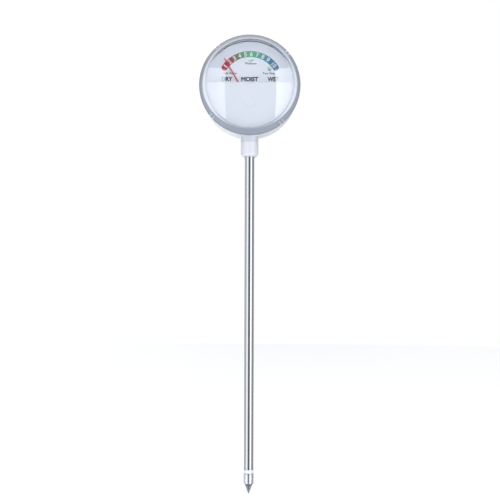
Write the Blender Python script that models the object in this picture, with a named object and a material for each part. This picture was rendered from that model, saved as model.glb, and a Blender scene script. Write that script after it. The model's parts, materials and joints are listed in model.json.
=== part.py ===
"""Soil moisture meter: a round dial head on a long tube that ends in an insulated metal tip.

The head faces -Y, the tube runs down along Z, and the origin is the point of the tip.
A moving-coil meter in the head is driven by the small current between tube and tip.
"""

import math

import bmesh
import bpy
from mathutils import Matrix, Vector

MM = 0.001

# Probe, along Z
TUBE_RADIUS = 3.0 * MM
TUBE_WALL = 0.5 * MM
EXPOSED_LENGTH = 210.8 * MM
TIP_STEP = 0.15 * MM
TIP_POINT_RADIUS = 0.35 * MM
TIP_CONE_LENGTH = 6.3 * MM
TIP_LENGTH = 12.7 * MM
RING_WIDTH = 2.1 * MM
STEM_RADIUS = 1.25 * MM
SPIGOT_LENGTH = 11.0 * MM
FERRULE_LENGTH = 4.8 * MM

# Neck, where the tube enters the head
COLLAR_WALL = 2.55 * MM
COLLAR_LENGTH = 9.3 * MM
COLLAR_FILLET = 2.2 * MM
STUB_LENGTH = 3.6 * MM
SPIGOT_WALL = 1.2 * MM
SPIGOT_DEPTH = 3.7 * MM
NECK_BOSS_RISE = 2.2 * MM
TUBE_ABOVE_BOSS = 2.2 * MM
MOVEMENT_ABOVE_TUBE = 4.3 * MM
DIAL_ABOVE_TUBE = 1.9 * MM

# Case of the head, turned around Y
CASE_RADIUS = 31.0 * MM
CASE_DRAFT = 0.5 * MM
CASE_WALL = 1.8 * MM
CASE_FILLET = 4.0 * MM
MOUTH_Y = -8.4 * MM
BACK_Y = 18.5 * MM
GROOVE_DEPTH = 0.8 * MM
GROOVE_FRONT_Y = -6.5 * MM
GROOVE_BACK_Y = -4.8 * MM

# Front lens
RIM_OVERHANG = 0.7 * MM
RIM_LAND = 0.9 * MM
FLARE_WIDTH = 3.7 * MM
FLARE_DEPTH = 3.2 * MM
EDGE_STEP = 1.4 * MM
EDGE_SLOPE = 0.6 * MM
DOME_RISE = 4.8 * MM
LENS_WALL = 1.6 * MM
LENS_SEAT_WIDTH = 2.1 * MM
TONGUE_THICKNESS = 1.0 * MM
TONGUE_HALF_WIDTH = 0.9 * MM
TONGUE_TURN = math.radians(49.5)
SLIT_WIDTH = 0.4 * MM
HOOK_REACH = 0.8 * MM

# Dial and the cover over the movement
DIAL_FRONT_Y = -3.4 * MM
DIAL_THICKNESS = 0.8 * MM
OPENING_CORNER = 6.0 * MM
COVER_FRONT_Y = -10.0 * MM
COVER_WALL = 1.0 * MM
COVER_BOSS_GAP = 0.35 * MM
COVER_BOSS_RADIUS = 4.5 * MM
PEG_RADIUS = 1.2 * MM

# Movement, around the pointer's axis
CORE_FRONT_Y = -1.1 * MM
CORE_LENGTH = 8.0 * MM
CORE_RADIUS = 5.5 * MM
AIR_GAP = 0.65 * MM
YOKE_THICKNESS = 2.5 * MM
FRAME_CORNER = 5.0 * MM
FRAME_THICKNESS = 1.6 * MM
FRAME_RIM = 0.4 * MM
FRAME_SCREW_HEAD = 1.6 * MM
FRAME_SCREW_ANGLE = math.radians(39.0)
TAG_RING_RADIUS = 1.5 * MM
PILLAR_RADIUS = 1.3 * MM
BRIDGE_HALF_WIDTH = 2.2 * MM
BRIDGE_THICKNESS = 1.0 * MM
FRONT_BRIDGE_Y = -7.9 * MM
REAR_BRIDGE_Y = 11.0 * MM
COIL_CLEARANCE = 0.5 * MM
FORMER_WALL = 0.3 * MM
FLANGE_HEIGHT = 0.9 * MM
COIL_HALF_WIDTH = 1.5 * MM
HUB_RADIUS = 0.9 * MM
SPRING_INNER = 1.15 * MM
SPRING_OUTER = 3.75 * MM
SPRING_TURNS = 3
ARM_LENGTH = 6.8 * MM
STOP_RADIUS = 0.5 * MM
POINTER_EDGE_MARGIN = 3.8 * MM
POINTER_THICKNESS = 0.45 * MM
POINTER_ROOT = 0.5 * MM
POINTER_TIP = 0.28 * MM
POINTER_REST = math.radians(-30.0)
POINTER_TRAVEL = math.radians(38.0)

# Clearances
SEAT_GAP = 0.3 * MM
FIT_GAP = 0.1 * MM
THROUGH = 1.0 * MM

# Turned shapes
LARGE_STEPS = 64
MEDIUM_STEPS = 28
SMALL_STEPS = 14

# Sizes of the movement that follow from the core and the coil around it
COIL_REACH = COIL_CLEARANCE + FORMER_WALL + FLANGE_HEIGHT
COIL_SWING = math.hypot(CORE_RADIUS + COIL_REACH, COIL_HALF_WIDTH)
YOKE_INNER = COIL_SWING + AIR_GAP
YOKE_OUTER = YOKE_INNER + YOKE_THICKNESS
RIM_OUTER = YOKE_OUTER + FIT_GAP + FRAME_RIM
PILLAR_X = RIM_OUTER + TAG_RING_RADIUS + 0.2 * MM
FRAME_SCREW_DISTANCE = RIM_OUTER + FRAME_SCREW_HEAD + 0.75 * MM
FRAME_SCREW_X = FRAME_SCREW_DISTANCE * math.cos(FRAME_SCREW_ANGLE)
FRAME_SCREW_Z = FRAME_SCREW_DISTANCE * math.sin(FRAME_SCREW_ANGLE)
FRAME_HALF_WIDTH = PILLAR_X + 1.7 * MM
FRAME_HALF_HEIGHT = FRAME_SCREW_Z + 2.6 * MM
BRIDGE_HALF_LENGTH = PILLAR_X + PILLAR_RADIUS
OPENING_HALF_WIDTH = PILLAR_X + PILLAR_RADIUS + 0.9 * MM
OPENING_ABOVE = COIL_SWING + 1.25 * MM
OPENING_BELOW = COIL_SWING + 2.15 * MM
STOP_DISTANCE = (OPENING_ABOVE + 1.05 * MM) / math.cos(POINTER_TRAVEL + math.radians(5.0))
COVER_RISE = OPENING_ABOVE + 2.7 * MM

# Sizes that follow from the tube
TIP_RADIUS = TUBE_RADIUS + TIP_STEP
NECK_RADIUS = TUBE_RADIUS + COLLAR_WALL
SPIGOT_RADIUS = TUBE_RADIUS + SPIGOT_WALL
COVER_SKIRT_Y = -(NECK_RADIUS + COVER_BOSS_GAP)

# Heights that follow from the sizes above
RING_TOP = TIP_LENGTH + FIT_GAP + RING_WIDTH
TUBE_BOTTOM = RING_TOP + FIT_GAP
COLLAR_TOP = EXPOSED_LENGTH + COLLAR_LENGTH
STUB_BOTTOM = COLLAR_TOP + SEAT_GAP
HEAD_Z = STUB_BOTTOM + STUB_LENGTH + CASE_RADIUS
NECK_BOSS_TOP = HEAD_Z - CASE_RADIUS + CASE_WALL + NECK_BOSS_RISE
TUBE_TOP = NECK_BOSS_TOP + TUBE_ABOVE_BOSS
PIVOT_Z = TUBE_TOP + MOVEMENT_ABOVE_TUBE + YOKE_OUTER
PIVOT_DROP = HEAD_Z - PIVOT_Z

# Radii in the head that follow from the case
CASE_INNER = CASE_RADIUS - CASE_WALL
RIM_RADIUS = CASE_RADIUS + RIM_OVERHANG
FACE_RADIUS = RIM_RADIUS - FLARE_WIDTH
SEAT_Y = MOUTH_Y - SEAT_GAP
FACE_EDGE_Y = SEAT_Y - RIM_LAND - FLARE_DEPTH
TONGUE_OUTER = CASE_INNER - SEAT_GAP
TONGUE_INNER = TONGUE_OUTER - TONGUE_THICKNESS
DIAL_RADIUS = CASE_INNER - 0.6 * MM
COVER_RADIUS = TONGUE_INNER - 0.4 * MM
DIAL_SCREW_HEAD = 1.5 * MM
DIAL_SCREW_DISTANCE = COVER_RADIUS - COVER_WALL - DIAL_SCREW_HEAD - 0.4 * MM
DIAL_SCREW_ANGLE = math.radians(20.0)
PEG_ANGLE = math.radians(50.0)
DIAL_FLAT_Z = TUBE_TOP + DIAL_ABOVE_TUBE - HEAD_Z
DIAL_BACK_Y = DIAL_FRONT_Y + DIAL_THICKNESS

# Depths in the movement that follow from the core
CORE_BACK_Y = CORE_FRONT_Y + CORE_LENGTH
FRAME_FRONT_Y = CORE_BACK_Y + SEAT_GAP
FRAME_BACK_Y = FRAME_FRONT_Y + FRAME_THICKNESS
FRONT_BASE_Y = CORE_FRONT_Y - COIL_REACH - FIT_GAP
REAR_BASE_Y = CORE_BACK_Y + COIL_REACH + FIT_GAP
POINTER_BACK_Y = -4.5 * MM
SPRING_HEIGHT = 0.35 * MM
SPRING_FRONT_Y = -5.7 * MM
SPRING_REAR_Y = 9.35 * MM
TAG_THICKNESS = 0.4 * MM
REAR_BRIDGE_BACK_Y = REAR_BRIDGE_Y + BRIDGE_THICKNESS


def make_paint(name, colour, roughness, metallic=0.0, alpha=1.0):
    """A Principled material with the part's colour and finish."""
    paint = bpy.data.materials.new(name)
    paint.use_nodes = True
    shader = paint.node_tree.nodes["Principled BSDF"]
    shader.inputs["Base Color"].default_value = (*colour, 1.0)
    shader.inputs["Roughness"].default_value = roughness
    shader.inputs["Metallic"].default_value = metallic
    shader.inputs["Alpha"].default_value = alpha
    return paint


def make_axis(name, height, turn=0.0):
    """An empty on an axis along Y; the pieces around that axis are its children."""
    axis = bpy.data.objects.new(name, None)
    bpy.context.collection.objects.link(axis)
    axis.location = (0.0, 0.0, height)
    axis.rotation_euler = (0.0, turn, 0.0)
    return axis


def make_object(name, shape, paint=None, parent=None):
    """Turn a bmesh into an object with its faces outward and its round faces smooth."""
    bmesh.ops.recalc_face_normals(shape, faces=shape.faces)
    mesh = bpy.data.meshes.new(name)
    shape.to_mesh(mesh)
    shape.free()
    mesh.shade_smooth()
    mesh.set_sharp_from_angle(angle=math.radians(35.0))
    if paint:
        mesh.materials.append(paint)
    piece = bpy.data.objects.new(name, mesh)
    bpy.context.collection.objects.link(piece)
    piece.parent = parent
    return piece


def combine(piece, label, shape, operation):
    """Join a shape to a piece, or cut it away, with a hidden tool object."""
    tool = make_object(f"{piece.name}_{label}", shape, parent=piece.parent)
    tool.hide_render = True
    tool.display_type = "WIRE"
    modifier = piece.modifiers.new(label, "BOOLEAN")
    modifier.operation = operation
    modifier.solver = "EXACT"
    modifier.object = tool


def weld(piece, label, shape):
    combine(piece, label, shape, "UNION")


def carve(piece, label, shape):
    combine(piece, label, shape, "DIFFERENCE")


def add_turned(shape, outline, along, steps, centre=(0.0, 0.0)):
    """Spin a closed outline of (radius, position) points around a line along X, Y or Z."""
    first, second = centre
    origin = {"X": (0.0, first, second), "Y": (first, 0.0, second), "Z": (first, second, 0.0)}[along]
    axis = {"X": (1.0, 0.0, 0.0), "Y": (0.0, 1.0, 0.0), "Z": (0.0, 0.0, 1.0)}[along]
    outward = Vector((0.0, 0.0, 1.0)) if along == "X" else Vector((1.0, 0.0, 0.0))
    base = Vector(origin)
    points = [shape.verts.new(base + outward * radius + Vector(axis) * place) for radius, place in outline]
    sides = [shape.edges.new(pair) for pair in zip(points, points[1:])]
    if outline[0][0] > 0.0 or outline[-1][0] > 0.0:
        sides.append(shape.edges.new((points[-1], points[0])))
    bmesh.ops.spin(
        shape, geom=points + sides, cent=origin, axis=axis, angle=math.tau, steps=steps, use_merge=True
    )
    bmesh.ops.remove_doubles(shape, verts=shape.verts, dist=0.0005 * MM)


def add_rod(shape, along, radius, start, end, centre=(0.0, 0.0), steps=SMALL_STEPS):
    add_turned(shape, [(0.0, start), (radius, start), (radius, end), (0.0, end)], along, steps, centre)


def add_prism(shape, outline, front, back):
    """A plate: an outline of (x, z) points, carried along Y from front to back."""
    near = [shape.verts.new((x, front, z)) for x, z in outline]
    far = [shape.verts.new((x, back, z)) for x, z in outline]
    shape.faces.new(near)
    shape.faces.new(list(reversed(far)))
    for i in range(len(outline)):
        j = (i + 1) % len(outline)
        shape.faces.new((near[i], far[i], far[j], near[j]))


def add_box(shape, low, high, turn=None):
    """A box between two corners, turned by a matrix if one is given."""
    middle = (Vector(low) + Vector(high)) / 2.0
    size = Vector(high) - Vector(low)
    place = Matrix.Translation(middle) @ Matrix.Diagonal((*size, 1.0))
    if turn is not None:
        place = turn @ place
    bmesh.ops.create_cube(shape, size=1.0, matrix=place)


def add_loop(shape, profile, centre_y, half_length, half_height):
    """A rectangular frame around the core: (outward, across) points carried round four corners."""
    corners = []
    for side_y, side_z in ((-1, -1), (-1, 1), (1, 1), (1, -1)):
        ring = []
        for outward, across in profile:
            y = centre_y + side_y * (half_length + outward)
            z = side_z * (half_height + outward)
            ring.append(shape.verts.new((across, y, z)))
        corners.append(ring)
    for i in range(len(corners)):
        here, there = corners[i], corners[(i + 1) % len(corners)]
        for j in range(len(profile)):
            k = (j + 1) % len(profile)
            shape.faces.new((here[j], here[k], there[k], there[j]))


def arc(centre, radius, start, end, steps):
    """Points on an arc, with angles from +X towards the second axis."""
    angles = [start + (end - start) * i / steps for i in range(steps + 1)]
    return [(centre[0] + radius * math.cos(a), centre[1] + radius * math.sin(a)) for a in angles]


def rounded_box(half_width, low, high, radius, steps=4):
    """Outline of a rectangle with round corners, symmetric in its first axis."""
    quarter = math.pi / 2.0
    centres = [
        (half_width - radius, high - radius),
        (radius - half_width, high - radius),
        (radius - half_width, low + radius),
        (half_width - radius, low + radius),
    ]
    outline = []
    for i, centre in enumerate(centres):
        outline += arc(centre, radius, i * quarter, (i + 1) * quarter, steps)
    return outline


def on_head(distance, angle_below):
    """A point on the head's face, at an angle below the horizontal on the right."""
    return (distance * math.cos(angle_below), -distance * math.sin(angle_below))


def clock(angle):
    """Turn about Y, clockwise as the dial is read."""
    return Matrix.Rotation(angle, 4, "Y")


def smooth_route(waypoints, steps=4):
    """A smooth curve through waypoints (Catmull-Rom)."""
    points = [Vector(p) for p in waypoints]
    points = [points[0] * 2 - points[1]] + points + [points[-1] * 2 - points[-2]]
    route = []
    for before, start, end, after in zip(points, points[1:], points[2:], points[3:]):
        for i in range(steps):
            t = i / steps
            bend = (end - before) * t + (before * 2 - start * 5 + end * 4 - after) * t**2
            bend += (start * 3 - before - end * 3 + after) * t**3
            route.append(start + bend / 2.0)
    route.append(points[-2])
    return route


def make_wire(name, route, radius, paint):
    """An insulated lead along its route, with closed ends."""
    curve = bpy.data.curves.new(name, "CURVE")
    curve.dimensions = "3D"
    curve.bevel_depth = radius
    curve.bevel_resolution = 2
    curve.use_fill_caps = True
    spline = curve.splines.new("POLY")
    spline.points.add(len(route) - 1)
    for point, place in zip(spline.points, route):
        point.co = (*place, 1.0)
    curve.materials.append(paint)
    wire = bpy.data.objects.new(name, curve)
    bpy.context.collection.objects.link(wire)
    return wire


def make_screw(name, place, head, shank, paint, parent, slot_turn=0.0, forward=1.0):
    """A slotted screw along Y. head is (radius, seat, top); shank is (radius, end)."""
    x, z = place
    head_radius, seat, top = head
    shank_radius, end = shank
    shape = bmesh.new()
    outline = [(0.0, top), (head_radius, top), (head_radius, seat), (shank_radius, seat)]
    outline += [(shank_radius, end), (0.0, end)]
    add_turned(shape, outline, "Y", SMALL_STEPS, centre=place)
    screw = make_object(name, shape, paint, parent)
    slot = bmesh.new()
    depth = abs(top - seat) * 0.5
    half = 0.2 * MM
    reach = head_radius + THROUGH
    turn = Matrix.Translation((x, 0.0, z)) @ clock(slot_turn) @ Matrix.Translation((-x, 0.0, -z))
    low = (x - reach, min(top + forward * depth, top - forward * THROUGH), z - half)
    high = (x + reach, max(top + forward * depth, top - forward * THROUGH), z + half)
    add_box(slot, low, high, turn)
    carve(screw, "slot", slot)
    return screw


def make_jewel(name, cup_y, depth, paint, parent):
    """A jewel bearing: a small disc whose conical cup opens at cup_y and is sunk along depth."""
    radius = 0.65 * MM
    cup_radius = 0.45 * MM
    thickness = 0.8 * MM
    outline = [
        (0.0, cup_y + depth * 0.55 * MM),
        (cup_radius, cup_y),
        (radius, cup_y),
        (radius, cup_y + depth * thickness),
        (0.0, cup_y + depth * thickness),
    ]
    shape = bmesh.new()
    add_turned(shape, outline, "Y", SMALL_STEPS)
    return make_object(name, shape, paint, parent)


def make_jewel_screw(name, end_y, seat_y, out, paint, parent):
    """The screw that holds a jewel in its end. out is -1 for the front screw and 1 for the rear."""
    head_radius = 1.7 * MM
    head_height = 0.6 * MM
    thread_radius = 1.1 * MM
    pocket_radius = 0.75 * MM
    pocket_depth = 1.1 * MM
    top = seat_y + out * head_height
    outline = [
        (0.0, top),
        (head_radius, top),
        (head_radius, seat_y),
        (thread_radius, seat_y),
        (thread_radius, end_y),
        (pocket_radius, end_y),
        (pocket_radius, end_y + out * pocket_depth),
        (0.0, end_y + out * pocket_depth),
    ]
    shape = bmesh.new()
    add_turned(shape, outline, "Y", SMALL_STEPS)
    screw = make_object(name, shape, paint, parent)
    slot = bmesh.new()
    half = 0.25 * MM
    reach = head_radius + THROUGH
    inner = top - out * head_height * 0.5
    outer = top + out * THROUGH
    add_box(slot, (-reach, min(inner, outer), -half), (reach, max(inner, outer), half))
    carve(screw, "slot", slot)
    return screw


def make_pivot(name, base_y, hub_end, pin_end, tip_y, out, paint, parent):
    """A pivot: a base on the coil, a hub for the pieces on it and a pointed pin."""
    base_radius = 1.6 * MM
    base_thickness = 0.3 * MM
    pin_radius = 0.22 * MM
    outline = [
        (0.0, base_y),
        (base_radius, base_y),
        (base_radius, base_y + out * base_thickness),
        (HUB_RADIUS, base_y + out * base_thickness),
        (HUB_RADIUS, hub_end),
        (pin_radius, hub_end),
        (pin_radius, pin_end),
        (0.0, tip_y),
    ]
    shape = bmesh.new()
    add_turned(shape, outline, "Y", SMALL_STEPS)
    return make_object(name, shape, paint, parent)


def make_hairspring(name, front, anchor_turn, paint, parent):
    """A flat spiral ribbon whose outer end points at anchor_turn, clockwise from the pointer."""
    half = 0.07 * MM
    per_turn = 16
    count = SPRING_TURNS * per_turn
    shape = bmesh.new()
    rings = []
    for i in range(count + 1):
        turn = anchor_turn - math.tau * SPRING_TURNS * (1.0 - i / count)
        radius = SPRING_INNER + (SPRING_OUTER - SPRING_INNER) * i / count
        corners = [(radius - half, front), (radius + half, front)]
        corners += [(radius + half, front + SPRING_HEIGHT), (radius - half, front + SPRING_HEIGHT)]
        ring = [shape.verts.new((r * math.sin(turn), y, r * math.cos(turn))) for r, y in corners]
        rings.append(ring)
    for here, there in zip(rings, rings[1:]):
        for j in range(4):
            k = (j + 1) % 4
            shape.faces.new((here[j], here[k], there[k], there[j]))
    shape.faces.new(rings[0])
    shape.faces.new(list(reversed(rings[-1])))
    return make_object(name, shape, paint, parent)


def make_weight(name, turn, paint, parent):
    """A small sleeve on one arm of the balance cross, turned clockwise from the pointer."""
    inner = 0.45 * MM
    outer = 0.9 * MM
    length = 1.8 * MM
    end = ARM_LENGTH - 0.3 * MM
    outline = [(inner, end - length), (outer, end - length), (outer, end), (inner, end)]
    shape = bmesh.new()
    add_turned(shape, outline, "Z", SMALL_STEPS, centre=(0.0, POINTER_BACK_Y + 0.25 * MM))
    bmesh.ops.transform(shape, matrix=clock(turn), verts=shape.verts)
    return make_object(name, shape, paint, parent)


def make_probe(steel, tip_metal, white):
    """The tube, the white ring, the tip with its stem, and the ferrule on the stem."""
    tube = bmesh.new()
    bore = TUBE_RADIUS - TUBE_WALL
    outline = [(bore, TUBE_BOTTOM), (TUBE_RADIUS, TUBE_BOTTOM), (TUBE_RADIUS, TUBE_TOP), (bore, TUBE_TOP)]
    add_turned(tube, outline, "Z", MEDIUM_STEPS)
    make_object("outer_tube", tube, steel)

    ring_bottom = TIP_LENGTH + FIT_GAP
    spigot_top = RING_TOP + SPIGOT_LENGTH
    stem_hole = STEM_RADIUS + FIT_GAP
    ring = bmesh.new()
    outline = [
        (stem_hole, ring_bottom),
        (TUBE_RADIUS + FIT_GAP, ring_bottom),
        (TUBE_RADIUS + FIT_GAP, RING_TOP),
        (bore - FIT_GAP, RING_TOP),
        (bore - FIT_GAP, spigot_top),
        (stem_hole, spigot_top),
    ]
    add_turned(ring, outline, "Z", MEDIUM_STEPS)
    make_object("insulator_ring", ring, white)

    stem_top = spigot_top + 2.2 * MM
    tip = bmesh.new()
    outline = [
        (0.0, 0.0),
        (TIP_POINT_RADIUS, 0.15 * MM),
        (TIP_POINT_RADIUS + 0.15 * MM, 0.5 * MM),
        (TIP_RADIUS, TIP_CONE_LENGTH),
        (TIP_RADIUS, TIP_LENGTH),
        (STEM_RADIUS, TIP_LENGTH),
        (STEM_RADIUS, stem_top),
        (0.0, stem_top),
    ]
    add_turned(tip, outline, "Z", MEDIUM_STEPS)
    make_object("tip_electrode", tip, tip_metal)

    ferrule = bmesh.new()
    bottom = spigot_top + FIT_GAP
    top = bottom + FERRULE_LENGTH
    shoulder = stem_top + SEAT_GAP
    outer = bore - 0.5 * MM
    outline = [(stem_hole, bottom), (outer, bottom), (outer, top), (0.75 * MM, top)]
    outline += [(0.75 * MM, shoulder), (stem_hole, shoulder)]
    add_turned(ferrule, outline, "Z", MEDIUM_STEPS)
    make_object("stem_ferrule", ferrule, tip_metal)
    return shoulder + 0.2 * MM


def make_neck(white, brass, steel):
    """The collar below the case, and what holds and closes the tube's upper end."""
    bore = TUBE_RADIUS + FIT_GAP
    fillet = arc(
        (NECK_RADIUS - COLLAR_FILLET, EXPOSED_LENGTH + COLLAR_FILLET),
        COLLAR_FILLET, -math.pi / 2.0, 0.0, 5,
    )
    top = COLLAR_TOP + SPIGOT_DEPTH
    outline = [(bore, EXPOSED_LENGTH)] + fillet
    outline += [(NECK_RADIUS, COLLAR_TOP), (SPIGOT_RADIUS, COLLAR_TOP), (SPIGOT_RADIUS, top), (bore, top)]
    collar = bmesh.new()
    add_turned(collar, outline, "Z", MEDIUM_STEPS)
    make_object("neck_collar", collar, white)

    clip_bottom = NECK_BOSS_TOP + FIT_GAP
    clip_top = clip_bottom + 0.5 * MM
    clip = bmesh.new()
    outer = TUBE_RADIUS + 1.6 * MM
    outline = [(bore, clip_bottom), (outer, clip_bottom), (outer, clip_top), (bore, clip_top)]
    add_turned(clip, outline, "Z", MEDIUM_STEPS)
    clip = make_object("tube_clip", clip, steel)
    notches = bmesh.new()
    for i in range(3):
        turn = Matrix.Rotation(math.tau * (i + 0.25) / 3.0, 4, "Z")
        low = (outer - 0.7 * MM, -0.7 * MM, clip_bottom - THROUGH)
        add_box(notches, low, (outer + THROUGH, 0.7 * MM, clip_top + THROUGH), turn)
    carve(clip, "notches", notches)

    ring_bottom = clip_top + 0.2 * MM
    ring_top = ring_bottom + TAG_THICKNESS
    ring = bmesh.new()
    outer = TUBE_RADIUS + 1.3 * MM
    outline = [(bore, ring_bottom), (outer, ring_bottom), (outer, ring_top), (bore, ring_top)]
    add_turned(ring, outline, "Z", MEDIUM_STEPS)
    ring = make_object("contact_ring", ring, brass)
    tab = bmesh.new()
    inset = 0.02 * MM
    low = (-TUBE_RADIUS - 4.0 * MM, -0.9 * MM, ring_bottom + inset)
    add_box(tab, low, (-TUBE_RADIUS - 0.7 * MM, 0.9 * MM, ring_top - inset))
    weld(ring, "tab", tab)

    bush = bmesh.new()
    plug = TUBE_RADIUS - TUBE_WALL - 0.15 * MM
    flange = TUBE_RADIUS - FIT_GAP
    hole = 0.75 * MM
    outline = [
        (hole, TUBE_TOP - 2.7 * MM),
        (plug, TUBE_TOP - 2.7 * MM),
        (plug, TUBE_TOP + FIT_GAP),
        (flange, TUBE_TOP + FIT_GAP),
        (flange, TUBE_TOP + 0.7 * MM),
        (hole, TUBE_TOP + 0.7 * MM),
    ]
    add_turned(bush, outline, "Z", MEDIUM_STEPS)
    make_object("wire_bush", bush, white)


def make_case(white, head):
    """The drum, with its snap groove, neck, and the posts for the frame and the dial."""
    back_radius = CASE_RADIUS - CASE_DRAFT
    fillet_centre = (back_radius - CASE_FILLET, BACK_Y - CASE_FILLET)
    inner_back = back_radius - CASE_WALL
    quarter = math.pi / 2.0
    outline = [(CASE_RADIUS, MOUTH_Y)]
    outline += arc(fillet_centre, CASE_FILLET, 0.0, quarter, 5)
    outline += [(0.0, BACK_Y), (0.0, BACK_Y - CASE_WALL)]
    outline += arc(fillet_centre, CASE_FILLET - CASE_WALL, quarter, 0.0, 4)
    slope = (CASE_INNER - inner_back) / (fillet_centre[1] - MOUTH_Y)
    groove_back_radius = CASE_INNER - slope * (GROOVE_BACK_Y - MOUTH_Y)
    groove_front_radius = CASE_INNER - slope * (GROOVE_FRONT_Y - MOUTH_Y)
    outline += [
        (groove_back_radius, GROOVE_BACK_Y),
        (CASE_INNER + GROOVE_DEPTH, GROOVE_BACK_Y),
        (CASE_INNER + GROOVE_DEPTH, GROOVE_FRONT_Y),
        (groove_front_radius, GROOVE_FRONT_Y),
        (CASE_INNER, MOUTH_Y),
    ]
    shell = bmesh.new()
    ends = outline.index((0.0, BACK_Y))
    ordered = outline[ends + 1:] + outline[:ends + 1]
    add_turned(shell, ordered, "Y", LARGE_STEPS)
    case = make_object("rear_case", shell, white, head)

    drop = PIVOT_DROP
    inner_wall_y = BACK_Y - CASE_WALL / 2.0
    bosses = bmesh.new()
    add_rod(bosses, "Z", NECK_RADIUS, STUB_BOTTOM - HEAD_Z, NECK_BOSS_TOP - HEAD_Z, steps=MEDIUM_STEPS)
    for x in (-FRAME_SCREW_X, FRAME_SCREW_X):
        for z in (-FRAME_SCREW_Z, FRAME_SCREW_Z):
            add_rod(bosses, "Y", 2.6 * MM, FRAME_BACK_Y + SEAT_GAP, inner_wall_y, centre=(x, z - drop))
    x, z = on_head(DIAL_SCREW_DISTANCE, DIAL_SCREW_ANGLE)
    for side in (-1.0, 1.0):
        add_rod(bosses, "Y", 2.0 * MM, DIAL_BACK_Y + SEAT_GAP, inner_wall_y, centre=(side * x, z))
    weld(case, "bosses", bosses)

    holes = bmesh.new()
    bore = TUBE_RADIUS + FIT_GAP
    counterbore = SPIGOT_RADIUS + 0.2 * MM
    step = COLLAR_TOP + SPIGOT_DEPTH + SEAT_GAP - HEAD_Z
    bottom = STUB_BOTTOM - HEAD_Z - THROUGH
    top = NECK_BOSS_TOP - HEAD_Z + THROUGH
    outline = [(0.0, bottom), (counterbore, bottom), (counterbore, step)]
    outline += [(bore, step), (bore, top), (0.0, top)]
    add_turned(holes, outline, "Z", MEDIUM_STEPS)
    for hole_x in (-FRAME_SCREW_X, FRAME_SCREW_X):
        for hole_z in (-FRAME_SCREW_Z, FRAME_SCREW_Z):
            place = (hole_x, hole_z - drop)
            hole_end = FRAME_BACK_Y + 6.6 * MM
            add_rod(holes, "Y", 0.8 * MM, FRAME_BACK_Y - THROUGH, hole_end, centre=place, steps=10)
    for side in (-1.0, 1.0):
        start = DIAL_BACK_Y - THROUGH
        add_rod(holes, "Y", 0.8 * MM, start, DIAL_BACK_Y + 7.0 * MM, centre=(side * x, z), steps=10)
    carve(case, "holes", holes)


def make_lens(clear, head):
    """The clear cover: a stepped dome, a flared skirt and four snap tongues freed by slits."""
    dome_edge = FACE_RADIUS - EDGE_SLOPE
    outer_dome = (dome_edge**2 + DOME_RISE**2) / (2.0 * DOME_RISE)
    peak_y = FACE_EDGE_Y - EDGE_STEP - DOME_RISE
    inner_dome = outer_dome - LENS_WALL
    inner_edge = dome_edge - 0.75 * MM
    rings = 6

    def dome(radius, sphere):
        return (radius, peak_y + outer_dome - math.sqrt(sphere**2 - radius**2))

    outline = [dome(inner_edge * i / rings, inner_dome) for i in range(rings + 1)]
    outline += [(RIM_RADIUS - LENS_SEAT_WIDTH, SEAT_Y), (RIM_RADIUS, SEAT_Y), (RIM_RADIUS, SEAT_Y - RIM_LAND)]
    outline += [(FACE_RADIUS, FACE_EDGE_Y)]
    outline += [dome(dome_edge * (rings - i) / rings, outer_dome) for i in range(rings + 1)]
    shell = bmesh.new()
    add_turned(shell, outline, "Y", LARGE_STEPS)
    lens = make_object("front_lens", shell, clear, head)

    tongues = bmesh.new()
    slits = bmesh.new()
    root_y = FACE_EDGE_Y + LENS_WALL
    catch_y = GROOVE_FRONT_Y + SEAT_GAP
    hook_end = GROOVE_BACK_Y - 0.2 * MM
    outer = TONGUE_OUTER
    profile = [
        (TONGUE_INNER, root_y),
        (outer, root_y),
        (outer, catch_y),
        (outer + HOOK_REACH, catch_y),
        (outer + HOOK_REACH, catch_y + 0.4 * MM),
        (outer, hook_end),
        (TONGUE_INNER, hook_end),
    ]
    for i in range(4):
        turn = clock(TONGUE_TURN + i * math.pi / 2.0)
        before = len(tongues.verts)
        left = [tongues.verts.new((-TONGUE_HALF_WIDTH, y, r)) for r, y in profile]
        right = [tongues.verts.new((TONGUE_HALF_WIDTH, y, r)) for r, y in profile]
        tongues.faces.new(left)
        tongues.faces.new(list(reversed(right)))
        for j in range(len(profile)):
            k = (j + 1) % len(profile)
            tongues.faces.new((left[j], right[j], right[k], left[k]))
        tongues.verts.ensure_lookup_table()
        bmesh.ops.transform(tongues, matrix=turn, verts=tongues.verts[before:])
        for side in (-1.0, 1.0):
            near = side * (TONGUE_HALF_WIDTH + 0.05 * MM)
            far = near + side * SLIT_WIDTH
            low = (min(near, far), FACE_EDGE_Y - THROUGH, outer + 0.15 * MM)
            high = (max(near, far), SEAT_Y + THROUGH, RIM_RADIUS + THROUGH)
            add_box(slits, low, high, turn)
    weld(lens, "tongues", tongues)
    carve(lens, "slits", slits)


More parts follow.
